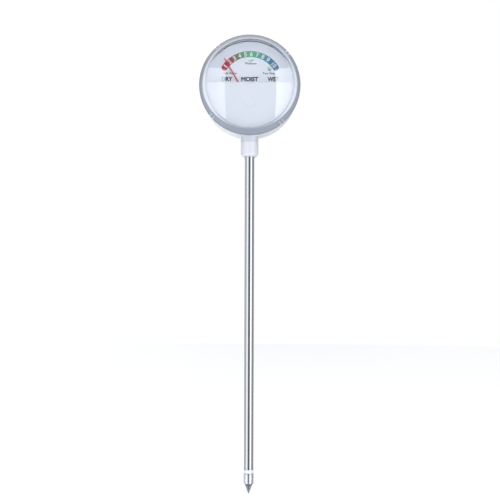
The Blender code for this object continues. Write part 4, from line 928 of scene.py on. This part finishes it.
word_y = ink_back - INK / 2.0
words = []
for text, left, right in WORD_ENDS:
    place = ((left + right) / 2.0 * MM, word_y, (WORD_BOTTOM + WORD_TOP) / 2.0)
    size = ((right - left) * MM, WORD_TOP - WORD_BOTTOM)
    words.append(printed(text.lower(), text, place, size, WORD_WEIGHT))
for text, middle, width, height in CAPTIONS:
    place = (middle * MM, word_y, HEAD_Z + height * MM)
    words.append(printed(text.lower(), text, place, (width * MM, CAPTION_HEIGHT), LIGHT_WEIGHT))
dial_words = gather("dial_words", words)
black_ink = make_finish(
    "black_ink", INK_BLACK, 0.4, shade=0.2, patch=300.0, grain=6000.0, bump=0.05,
)
fade_tree = black_ink.node_tree
off_centre = maths(fade_tree, "SUBTRACT", (place_on(black_ink), "X"), WORN_CENTRE)
from_centre = maths(fade_tree, "ABSOLUTE", off_centre)
worn = ramp_up(fade_tree, from_centre, WORN_FROM - WORN_BLEND, WORN_FROM + WORN_BLEND)
ink_colour = blend_colours(fade_tree, worn, INK_BLACK, INK_WORN)
wire(fade_tree, *ink_colour, fade_tree.nodes["surface"], "Colour")
fit_out(dial_words, "housing", "dial_card", black_ink)


# ---------------------------------------------------------------- printed plant signs
# Three small green plants stand over the captions: a full one in the middle, one with
# drooping leaves on the left and one with tall leaves on the right.
LEAF_STEPS = 24
LEAF_WIDTH = 0.5
LEAF_END = 0.46
LEAF_TIP_WIDTH = 0.25
LEAF_DRAW = 0.08
PLANT_GREEN = (0.10, 0.33, 0.21)
# each plant's middle and foot in mm, then its leaves' turns in degrees and lengths in mm
PLANTS = (
    (0.6, 15.9, ((-66.0, 2.0), (56.0, 2.6), (-18.0, 1.4), (26.0, 2.0))),
    (12.2, 9.9, ((-38.0, 2.4), (-14.0, 3.2), (14.0, 3.1), (40.0, 2.6), (80.0, 1.7))),
    (-12.7, 10.0, ((-105.0, 1.1), (-12.0, 2.2), (100.0, 1.2))),
)


def leaf(foot, length, turn):
    """A pointed leaf: a round disc drawn out at both ends and turned about its foot."""
    bpy.ops.object.select_all(action="DESELECT")
    bpy.ops.mesh.primitive_cylinder_add(
        vertices=LEAF_STEPS, radius=0.5, depth=INK, location=(0.0, 0.0, 0.0), rotation=(QUARTER, 0.0, 0.0),
    )
    shape = bpy.context.object
    bpy.ops.object.transform_apply(location=True, rotation=True, scale=True)
    shape.scale = (length * LEAF_WIDTH, 1.0, length)
    bpy.ops.object.transform_apply(location=True, rotation=True, scale=True)
    for side in (-1.0, 1.0):
        for vertex in shape.data.vertices:
            vertex.select = side * vertex.co.z > LEAF_END * length
        bpy.ops.object.mode_set(mode="EDIT")
        bpy.ops.mesh.select_mode(type="VERT")
        bpy.ops.transform.resize(value=(LEAF_TIP_WIDTH, 1.0, 1.0), center_override=(0.0, 0.0, 0.0))
        bpy.ops.transform.translate(value=(0.0, 0.0, side * LEAF_DRAW * length))
        bpy.ops.mesh.select_all(action="DESELECT")
        bpy.ops.object.mode_set(mode="OBJECT")
    shape.rotation_euler = (0.0, turn, 0.0)
    half_length = length * (0.5 + LEAF_DRAW)
    shape.location = Vector(foot) + Vector((math.sin(turn), 0.0, math.cos(turn))) * half_length
    bpy.ops.object.transform_apply(location=True, rotation=True, scale=True)
    return shape


leaves = []
for middle, height, spread in PLANTS:
    foot = (middle * MM, word_y, HEAD_Z + height * MM)
    for turn, length in spread:
        leaves.append(leaf(foot, length * MM, math.radians(turn)))
plant_signs = gather("plant_signs", leaves)
green_ink = make_finish(
    "green_ink", PLANT_GREEN, 0.45, shade=0.15, patch=400.0, grain=6000.0, bump=0.05,
)
fit_out(plant_signs, "housing", "dial_card", green_ink)


# ---------------------------------------------------------------- pointer
# The pointer is a thin tapered blade, punched from aluminium sheet and sprayed red, pressed
# on the coil's front pivot.
POINTER_RED = (0.62, 0.03, 0.06)

pointer_paint = make_finish(
    "pointer_paint", POINTER_RED, 0.35, shade=0.08, patch=500.0, grain=7000.0, bump=0.06,
)
refinish(["pointer"], pointer_paint)


# ---------------------------------------------------------------- movement cover
# A white half-disc with a shallow skirt hides the movement. It stands off the dial on two
# pegs, and a low round boss in it covers the front bearing.
cover_low, cover_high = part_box("movement_cover")
COVER_RADIUS = cover_high.x
COVER_TOP = cover_high.z
COVER_WALL = 1.0 * MM
COVER_FILLET = 0.8 * MM
COVER_FILLET_STEPS = 6
COVER_EDGE = 0.1 * MM
COVER_SKIRT = -5.9 * MM
BOSS_RADIUS = 4.5 * MM
BOSS_TAPER = 0.2 * MM
BOSS_HEIGHT = 0.5 * MM
BOSS_STEPS = 64
COVER_FRONT = cover_low.y + BOSS_HEIGHT
COVER_MIDDLE = COVER_FRONT + COVER_WALL / 2.0
PEG_DISTANCE = 24.2 * MM
PEG_BELOW = math.radians(50.0)
PEG_RADIUS = 1.8 * MM
PEG_TIP_RADIUS = 1.2 * MM
PEG_SHOULDER = DIAL_FRONT - 0.3 * MM
COVER_WHITE = (0.835, 0.86, 0.91)

cover_stations = [
    (0.0, COVER_FRONT + COVER_WALL),
    (COVER_RADIUS - COVER_WALL, COVER_FRONT + COVER_WALL),
    (COVER_RADIUS - COVER_WALL, COVER_SKIRT),
    (COVER_RADIUS, COVER_SKIRT),
]
corner = (COVER_RADIUS - COVER_FILLET, COVER_FRONT + COVER_FILLET)
cover_stations += rounded_corner(*corner, COVER_FILLET, 0.0, -QUARTER, COVER_FILLET_STEPS)
cover_stations += [(0.0, COVER_FRONT)]
movement_cover = turned("half_cover", cover_stations, "Y", HEAD_STEPS, HEAD_CENTRE)
bpy.ops.object.mode_set(mode="EDIT")
bpy.ops.mesh.select_all(action="SELECT")
bpy.ops.mesh.bisect(
    plane_co=(0.0, 0.0, COVER_TOP), plane_no=(0.0, 0.0, 1.0), use_fill=True, clear_outer=True,
)
bpy.ops.object.mode_set(mode="OBJECT")
boss_stations = [(0.0, COVER_MIDDLE), (BOSS_RADIUS, COVER_MIDDLE)]
boss_stations += [(BOSS_RADIUS - BOSS_TAPER, cover_low.y), (0.0, cover_low.y)]
boss = turned("boss", boss_stations, "Y", BOSS_STEPS, (0.0, 0.0, PIVOT_Z))
cut_or_join(movement_cover, boss, "UNION")
peg_stations = [(0.0, COVER_MIDDLE), (PEG_RADIUS, COVER_MIDDLE), (PEG_RADIUS, PEG_SHOULDER)]
peg_stations += [(PEG_TIP_RADIUS, PEG_SHOULDER), (PEG_TIP_RADIUS, cover_high.y), (0.0, cover_high.y)]
for side in (-1.0, 1.0):
    across = side * PEG_DISTANCE * math.cos(PEG_BELOW)
    place = (across, 0.0, HEAD_Z - PEG_DISTANCE * math.sin(PEG_BELOW))
    cut_or_join(movement_cover, turned("peg", peg_stations, "Y", HOLE_STEPS, place), "UNION")
soften(movement_cover, COVER_EDGE)
cover_white = make_finish(
    "cover_white", COVER_WHITE, 0.42, shade=0.02, patch=80.0, grain=5200.0, drift=0.06, bump=0.02,
)
fit_out(movement_cover, "housing", "white_plastic", cover_white, "movement_cover")


# ---------------------------------------------------------------- lens
# The lens is one clear moulding: a shallow dome, a flared skirt that hides the mouth of the
# case, and four snap tongues, freed by slits, that catch in the groove.
FACE_RADIUS = 28.0 * MM
RIM_RADIUS = lens_high.x
RIM_LAND = 0.9 * MM
RIM_EDGE = 0.1 * MM
SEAT_WIDTH = 2.1 * MM
FLARE_DEPTH = 3.2 * MM
SEAT_Y = MOUTH_Y - 0.3 * MM
FACE_EDGE = SEAT_Y - RIM_LAND - FLARE_DEPTH
EDGE_STEP = 1.4 * MM
DOME_EDGE = FACE_RADIUS - 0.6 * MM
DOME_RISE = FACE_EDGE - EDGE_STEP - lens_low.y
LENS_WALL = 1.6 * MM
DOME_RADIUS = (DOME_EDGE**2 + DOME_RISE**2) / (2.0 * DOME_RISE)
DOME_CENTRE = lens_low.y + DOME_RADIUS
TONGUE_TURN = math.radians(49.5)
TONGUE_HALF_WIDTH = 0.9 * MM
TONGUE_OUTER = MOUTH_RADIUS - 0.3 * MM
TONGUE_INNER = TONGUE_OUTER - 1.0 * MM
TONGUE_END = -5.0 * MM
HOOK_HALF_WIDTH = TONGUE_HALF_WIDTH - 0.03 * MM
HOOK_INNER = TONGUE_INNER + 0.2 * MM
HOOK_OUTER = TONGUE_OUTER + 0.75 * MM
HOOK_FRONT = GROOVE_FRONT + 0.3 * MM
HOOK_BACK = HOOK_FRONT + 0.8 * MM
SLIT = 0.5 * MM
SLIT_INNER = TONGUE_OUTER + 0.15 * MM
SLIT_MIDDLE = TONGUE_HALF_WIDTH + 0.05 * MM + SLIT / 2.0
WEDGE_EDGE = 0.02 * MM
DOME_RINGS = 16


def on_dome(radius, sphere):
    """A station on the dome's outer or inner sphere."""
    return (radius, DOME_CENTRE - math.sqrt(sphere**2 - radius**2))


inner_edge = DOME_EDGE - 0.3 * MM
outer_edge = DOME_EDGE - 0.45 * MM
dome_shares = [ring / DOME_RINGS for ring in range(DOME_RINGS + 1)]
lens_stations = [on_dome(inner_edge * share, DOME_RADIUS - LENS_WALL) for share in dome_shares]
# the seat and the rim's edge
lens_stations += [
    (RIM_RADIUS - SEAT_WIDTH, SEAT_Y),
    (RIM_RADIUS - RIM_EDGE, SEAT_Y),
    (RIM_RADIUS, SEAT_Y - RIM_EDGE),
    (RIM_RADIUS, SEAT_Y - RIM_LAND + 0.15 * MM),
    (RIM_RADIUS - 0.12 * MM, SEAT_Y - RIM_LAND - 0.1 * MM),
]
# the flare, up to the rounded foot of the step
lens_stations += [
    (FACE_RADIUS + 0.2 * MM, FACE_EDGE + 0.15 * MM),
    (FACE_RADIUS + 0.02 * MM, FACE_EDGE),
    (FACE_RADIUS - 0.06 * MM, FACE_EDGE - 0.2 * MM),
]
# the step, with its rounded top
lens_stations += [
    (DOME_EDGE + 0.12 * MM, FACE_EDGE - 1.0 * MM),
    (DOME_EDGE - 0.02 * MM, FACE_EDGE - 1.3 * MM),
    (DOME_EDGE - 0.18 * MM, FACE_EDGE - 1.46 * MM),
]
lens_stations += [on_dome(outer_edge * share, DOME_RADIUS) for share in reversed(dome_shares)]
front_lens = turned("dome_lens", lens_stations, "Y", HEAD_STEPS, HEAD_CENTRE)


def wedge(name, low, high, turn):
    """A block in the lens, turned clockwise round the head's axis from its top."""
    block = rounded_block(name, low, high, WEDGE_EDGE)
    bpy.ops.object.select_all(action="DESELECT")
    block.select_set(True)
    bpy.context.view_layer.objects.active = block
    block.rotation_euler = (0.0, turn, 0.0)
    block.location = HEAD_CENTRE
    bpy.ops.object.transform_apply(location=True, rotation=True, scale=True)
    return block


for place in range(4):
    turn = TONGUE_TURN + place * QUARTER
    low = (-TONGUE_HALF_WIDTH, FACE_EDGE + LENS_WALL, TONGUE_INNER)
    high = (TONGUE_HALF_WIDTH, TONGUE_END, TONGUE_OUTER)
    cut_or_join(front_lens, wedge("tongue", low, high, turn), "UNION")
    low = (-HOOK_HALF_WIDTH, HOOK_FRONT, HOOK_INNER)
    high = (HOOK_HALF_WIDTH, HOOK_BACK, HOOK_OUTER)
    cut_or_join(front_lens, wedge("hook", low, high, turn), "UNION")
    for side in (-1.0, 1.0):
        low = (side * SLIT_MIDDLE - SLIT / 2.0, FACE_EDGE - PAST, SLIT_INNER)
        high = (side * SLIT_MIDDLE + SLIT / 2.0, SEAT_Y + PAST, RIM_RADIUS + PAST)
        cut_or_join(front_lens, wedge("slit", low, high, turn), "DIFFERENCE")
soften(front_lens, 0.0)

# The dome is clear acrylic, and lamps shine through it. The skirt is clear plastic too, but its look
# is painted: a grey painted reflection from its rim inwards, reaching further in at the bottom and
# lighter at the top, a paler painted reflection inside it, and a painted shade on the outer rim. The
# step at its inner edge reads as a thin line, painted dark as a reflection at the top and painted
# light as a highlight at the sides. The slits' sides are painted white: frosted plastic, and painted
# light standing in for the white case seen through them.
CLEAR = (0.985, 0.99, 1.0)
# the slits' sides: painted light for the white case seen through them, with the frost of the plastic
SLIT_FROST_AND_LIGHT = (0.86, 0.89, 0.95)
ACRYLIC_IOR = 1.58
# The skirt's colours are painted reflection, highlight and shade, not the plastic's own colour.
SKIRT_REFLECTION_GREY = (0.275, 0.30, 0.36)
SKIRT_REFLECTION_TOP = (0.51, 0.54, 0.595)
SKIRT_REFLECTION_LIGHT = (0.70, 0.735, 0.80)
STEP_REFLECTION_TOP = (0.06, 0.065, 0.08)
STEP_HIGHLIGHT_SIDES = (0.72, 0.75, 0.82)
STEP_REFLECTION_BOTTOM = (0.38, 0.41, 0.47)
RIM_SHADE = 0.80
# how far in the painted grey reflection reaches, and how much further in at the bottom
GREY_REFLECTION_FROM = 29.6 * MM
GREY_REFLECTION_LOWER = 1.8 * MM
GREY_REFLECTION_BLEND = 0.45 * MM
STEP_LINE = FACE_RADIUS + 0.1 * MM
STEP_BLEND = 0.1 * MM
RIM_LINE = 31.2 * MM
RIM_BLEND = 0.2 * MM
SLIT_SIDE = 0.9  # a slit's side turns at least this much round the ring
FACES_OUT = 0.2  # the skirt turns at least this much away from the axis


def let_light_through(paint, tint):
    """Let a clear plastic pass lamp light without a shadow of its own."""
    tree = paint.node_tree
    path = tree.nodes.new("ShaderNodeLightPath")
    open_air = tree.nodes.new("ShaderNodeBsdfTransparent")
    open_air.inputs["Color"].default_value = (*tint, 1.0)
    through = tree.nodes.new("ShaderNodeMixShader")
    wire(tree, path, "Is Shadow Ray", through, 0)
    wire(tree, tree.nodes["Principled BSDF"], 0, through, 1)
    wire(tree, open_air, 0, through, 2)
    wire(tree, through, 0, tree.nodes["Material Output"], "Surface")


clear_acrylic = make_finish(
    "clear_acrylic", CLEAR, 0.02, shade=0.0, patch=60.0, grain=3000.0, drift=0.01, bump=0.002,
)
lens_shader = clear_acrylic.node_tree.nodes["Principled BSDF"]
lens_shader.inputs["Transmission Weight"].default_value = 1.0
lens_shader.inputs["IOR"].default_value = ACRYLIC_IOR
let_light_through(clear_acrylic, (0.95, 0.96, 0.98))

skirt_painted_reflection = make_finish(
    "skirt_painted_reflection", SKIRT_REFLECTION_GREY, 0.22, shade=0.05, patch=150.0, grain=5200.0, drift=0.06, bump=0.03,
)
skirt_tree = skirt_painted_reflection.node_tree
skirt_place = place_on(skirt_painted_reflection)
# The painted reflection changes round the ring: lighter grey at the top, further in at the bottom, and on
# the step a dark line at the top and a highlight at the sides.
rise = maths(skirt_tree, "SUBTRACT", (skirt_place, "Z"), HEAD_Z)
across_squared = maths(skirt_tree, "MULTIPLY", (skirt_place, "X"), (skirt_place, "X"))
squares = maths(skirt_tree, "MULTIPLY_ADD", rise, rise, across_squared)
away = maths(skirt_tree, "SQRT", squares)
upward = maths(skirt_tree, "DIVIDE", rise, away)
downward = maths(skirt_tree, "MULTIPLY", upward, -1.0, clamp=True)
reach_in = maths(skirt_tree, "MULTIPLY", downward, downward)
grey_reflection_to = maths(skirt_tree, "MULTIPLY_ADD", reach_in, GREY_REFLECTION_LOWER, away)
in_grey_reflection = ramp_up(skirt_tree, grey_reflection_to, GREY_REFLECTION_FROM - GREY_REFLECTION_BLEND, GREY_REFLECTION_FROM + GREY_REFLECTION_BLEND)
step_reflection_low = blend_colours(skirt_tree, ramp_up(skirt_tree, downward, 0.3, 0.9), STEP_HIGHLIGHT_SIDES, STEP_REFLECTION_BOTTOM)
step_reflection_colour = blend_colours(skirt_tree, ramp_up(skirt_tree, upward, 0.1, 0.9), step_reflection_low, STEP_REFLECTION_TOP)
grey = blend_colours(skirt_tree, ramp_up(skirt_tree, upward, 0.2, 1.0), SKIRT_REFLECTION_GREY, SKIRT_REFLECTION_TOP)
skirt_reflection_colour = blend_colours(skirt_tree, in_grey_reflection, SKIRT_REFLECTION_LIGHT, grey)
outside_step = ramp_up(skirt_tree, away, STEP_LINE - STEP_BLEND, STEP_LINE + STEP_BLEND)
skirt_reflection_colour = blend_colours(skirt_tree, outside_step, step_reflection_colour, skirt_reflection_colour)
# A darker painted shade along the outer rim.
rim_shade_colour = tuple(RIM_SHADE * channel for channel in SKIRT_REFLECTION_GREY)
at_rim = ramp_up(skirt_tree, away, RIM_LINE - RIM_BLEND, RIM_LINE + RIM_BLEND)
skirt_reflection_colour = blend_colours(skirt_tree, at_rim, skirt_reflection_colour, rim_shade_colour)
wire(skirt_tree, *skirt_reflection_colour, skirt_tree.nodes["surface"], "Colour")
let_light_through(skirt_painted_reflection, (0.85, 0.87, 0.90))
fit_out(front_lens, "housing", "clear_plastic", clear_acrylic, "front_lens")
front_lens.data.materials.append(skirt_painted_reflection)
# The slits' sides are painted white: painted light for the white case seen through them, with the frost of
# the plastic.
slit_frost_and_light = make_finish(
    "slit_frost_and_light", SLIT_FROST_AND_LIGHT, 0.5, shade=0.05, patch=300.0, grain=6000.0, bump=0.1,
)
let_light_through(slit_frost_and_light, (0.9, 0.92, 0.95))
front_lens.data.materials.append(slit_frost_and_light)
for face in front_lens.data.polygons:
    outward = Vector((face.center.x, 0.0, face.center.z - HEAD_Z))
    reach = outward.length
    outward.normalize()
    sideways = Vector((outward.z, 0.0, -outward.x))
    slit_side = abs(face.normal.dot(sideways)) > SLIT_SIDE and face.center.y < SEAT_Y
    if slit_side and reach > FACE_RADIUS:
        face.material_index = 2
    elif face.normal.dot(outward) > FACES_OUT and reach > DOME_EDGE and face.center.y < SEAT_Y:
        face.material_index = 1


# ---------------------------------------------------------------- studio
# A pale floor in a white room. Two tall side lamps and two fills light the meter and never show
# themselves. Upright screens, glowing or dark, show only in reflections: they give the polished
# tube its stripes and edges.
DAYLIGHT = (0.94, 0.965, 1.0)
ROOM_LIGHT = (0.93, 0.96, 1.0)
FLOOR_RADIUS = 1.6
FLOOR_PALE = (0.92, 0.93, 0.94)
FLOOR_GLOW = (0.98, 0.99, 1.0)


def soft_lamp(name, place, turn, width, height, power):
    """A rectangular lamp that shines on the meter but is seen nowhere."""
    bpy.ops.object.light_add(type="AREA", location=place, rotation=turn)
    lamp = bpy.context.object
    lamp.name = name
    lamp.data.shape = "RECTANGLE"
    lamp.data.size = width
    lamp.data.size_y = height
    lamp.data.energy = power
    lamp.data.color = DAYLIGHT
    lamp.visible_camera = False
    lamp.visible_glossy = False
    lamp.visible_transmission = False


def upright(bearing, half_angle, distance, bottom, top):
    """The place, turn, width and height of a lamp or screen that stands round from the camera."""
    turn = math.radians(bearing)
    place = (math.sin(turn) * distance, -math.cos(turn) * distance, (bottom + top) / 2.0)
    width = 2.0 * distance * math.tan(math.radians(half_angle))
    return place, (QUARTER, 0.0, turn), width, top - bottom


def reflected_screen(name, place, turn, width, height, grey):
    """A flat screen, dark or glowing, that is only seen in reflections."""
    bpy.ops.object.select_all(action="DESELECT")
    bpy.ops.mesh.primitive_plane_add(size=1.0, location=place, rotation=turn)
    screen = bpy.context.object
    screen.name = name
    screen.scale = (width, height, 1.0)
    cloth = bpy.data.materials.new(name)
    cloth.use_nodes = True
    glow = cloth.node_tree.nodes.new("ShaderNodeEmission")
    glow.inputs["Color"].default_value = (*(grey * channel for channel in DAYLIGHT), 1.0)
    wire(cloth.node_tree, glow, 0, cloth.node_tree.nodes["Material Output"], "Surface")
    screen.data.materials.append(cloth)
    screen.visible_camera = False
    screen.visible_diffuse = False
    screen.visible_shadow = False


# bearing and half angle in degrees, then distance, bottom and top in metres
soft_lamp("left_light", *upright(-47.0, 23.0, 1.2, -0.8, 0.86), power=4.6)
soft_lamp("right_light", *upright(45.0, 19.5, 1.2, -0.8, 0.86), power=3.8)
reflected_screen("left_glow", *upright(-47.0, 23.0, 1.21, -1.3, 0.86), grey=1.95)
reflected_screen("right_glow", *upright(45.0, 19.5, 1.21, -1.3, 0.86), grey=2.6)
soft_lamp("fill", (0.0, -0.95, 1.45), (math.radians(38.0), 0.0, 0.0), 1.1, 1.1, power=4.0)
soft_lamp("front_fill", (0.0, -1.5, 0.36), (QUARTER, 0.0, 0.0), 0.6, 0.6, power=8.0)
reflected_screen("camera_screen", *upright(0.0, 27.0, 1.5, -3.0, 1.1), grey=0.25)
reflected_screen("left_screen", *upright(-125.0, 50.0, 1.5, -1.5, 1.5), grey=0.90)
reflected_screen("right_screen", *upright(120.0, 50.0, 1.5, -1.5, 1.5), grey=0.56)

bpy.ops.object.select_all(action="DESELECT")
bpy.ops.mesh.primitive_circle_add(
    vertices=96, radius=FLOOR_RADIUS, fill_type="NGON", location=(0.0, 0.0, 0.0),
)
floor = bpy.context.object
floor.name = "floor"
floor_paint = make_finish(
    "floor_paint", FLOOR_PALE, 0.7, shade=0.01, patch=3.0, grain=300.0, bump=0.0,
)
floor_shader = floor_paint.node_tree.nodes["Principled BSDF"]
floor_shader.inputs["Emission Color"].default_value = (*FLOOR_GLOW, 1.0)
floor_shader.inputs["Emission Strength"].default_value = 0.72
floor.data.materials.append(floor_paint)
floor.visible_glossy = False
floor.visible_transmission = False
floor.visible_shadow = False

room = bpy.data.worlds.new("room")
bpy.context.scene.world = room
room.use_nodes = True
room_tree = room.node_tree
soft = room_tree.nodes["Background"]
soft.inputs["Color"].default_value = (*ROOM_LIGHT, 1.0)
soft.inputs["Strength"].default_value = 0.20
white = room_tree.nodes.new("ShaderNodeBackground")
white.inputs["Color"].default_value = (1.0, 1.0, 1.0, 1.0)
white.inputs["Strength"].default_value = 1.0
seen = room_tree.nodes.new("ShaderNodeLightPath")
either = room_tree.nodes.new("ShaderNodeMixShader")
wire(room_tree, seen, "Is Camera Ray", either, 0)
wire(room_tree, soft, 0, either, 1)
wire(room_tree, white, 0, either, 2)
wire(room_tree, either, 0, room_tree.nodes["World Output"], "Surface")
bpy.context.scene.view_settings.view_transform = "Standard"


# ---------------------------------------------------------------- camera
# The meter is seen from the front, from about the middle of the tube, slightly upwards.
CAMERA_PLACE = (0.55 * MM, -575.0 * MM, 126.45 * MM)
CAMERA_TILT = math.radians(92.54)
CAMERA_ROLL = math.radians(-0.19)
CAMERA_LENS = 65.7

bpy.ops.object.camera_add(location=CAMERA_PLACE, rotation=(CAMERA_TILT, CAMERA_ROLL, 0.0))
camera = bpy.context.object
camera.name = "camera"
camera.data.sensor_width = 36.0
camera.data.lens = CAMERA_LENS
bpy.context.scene.camera = camera
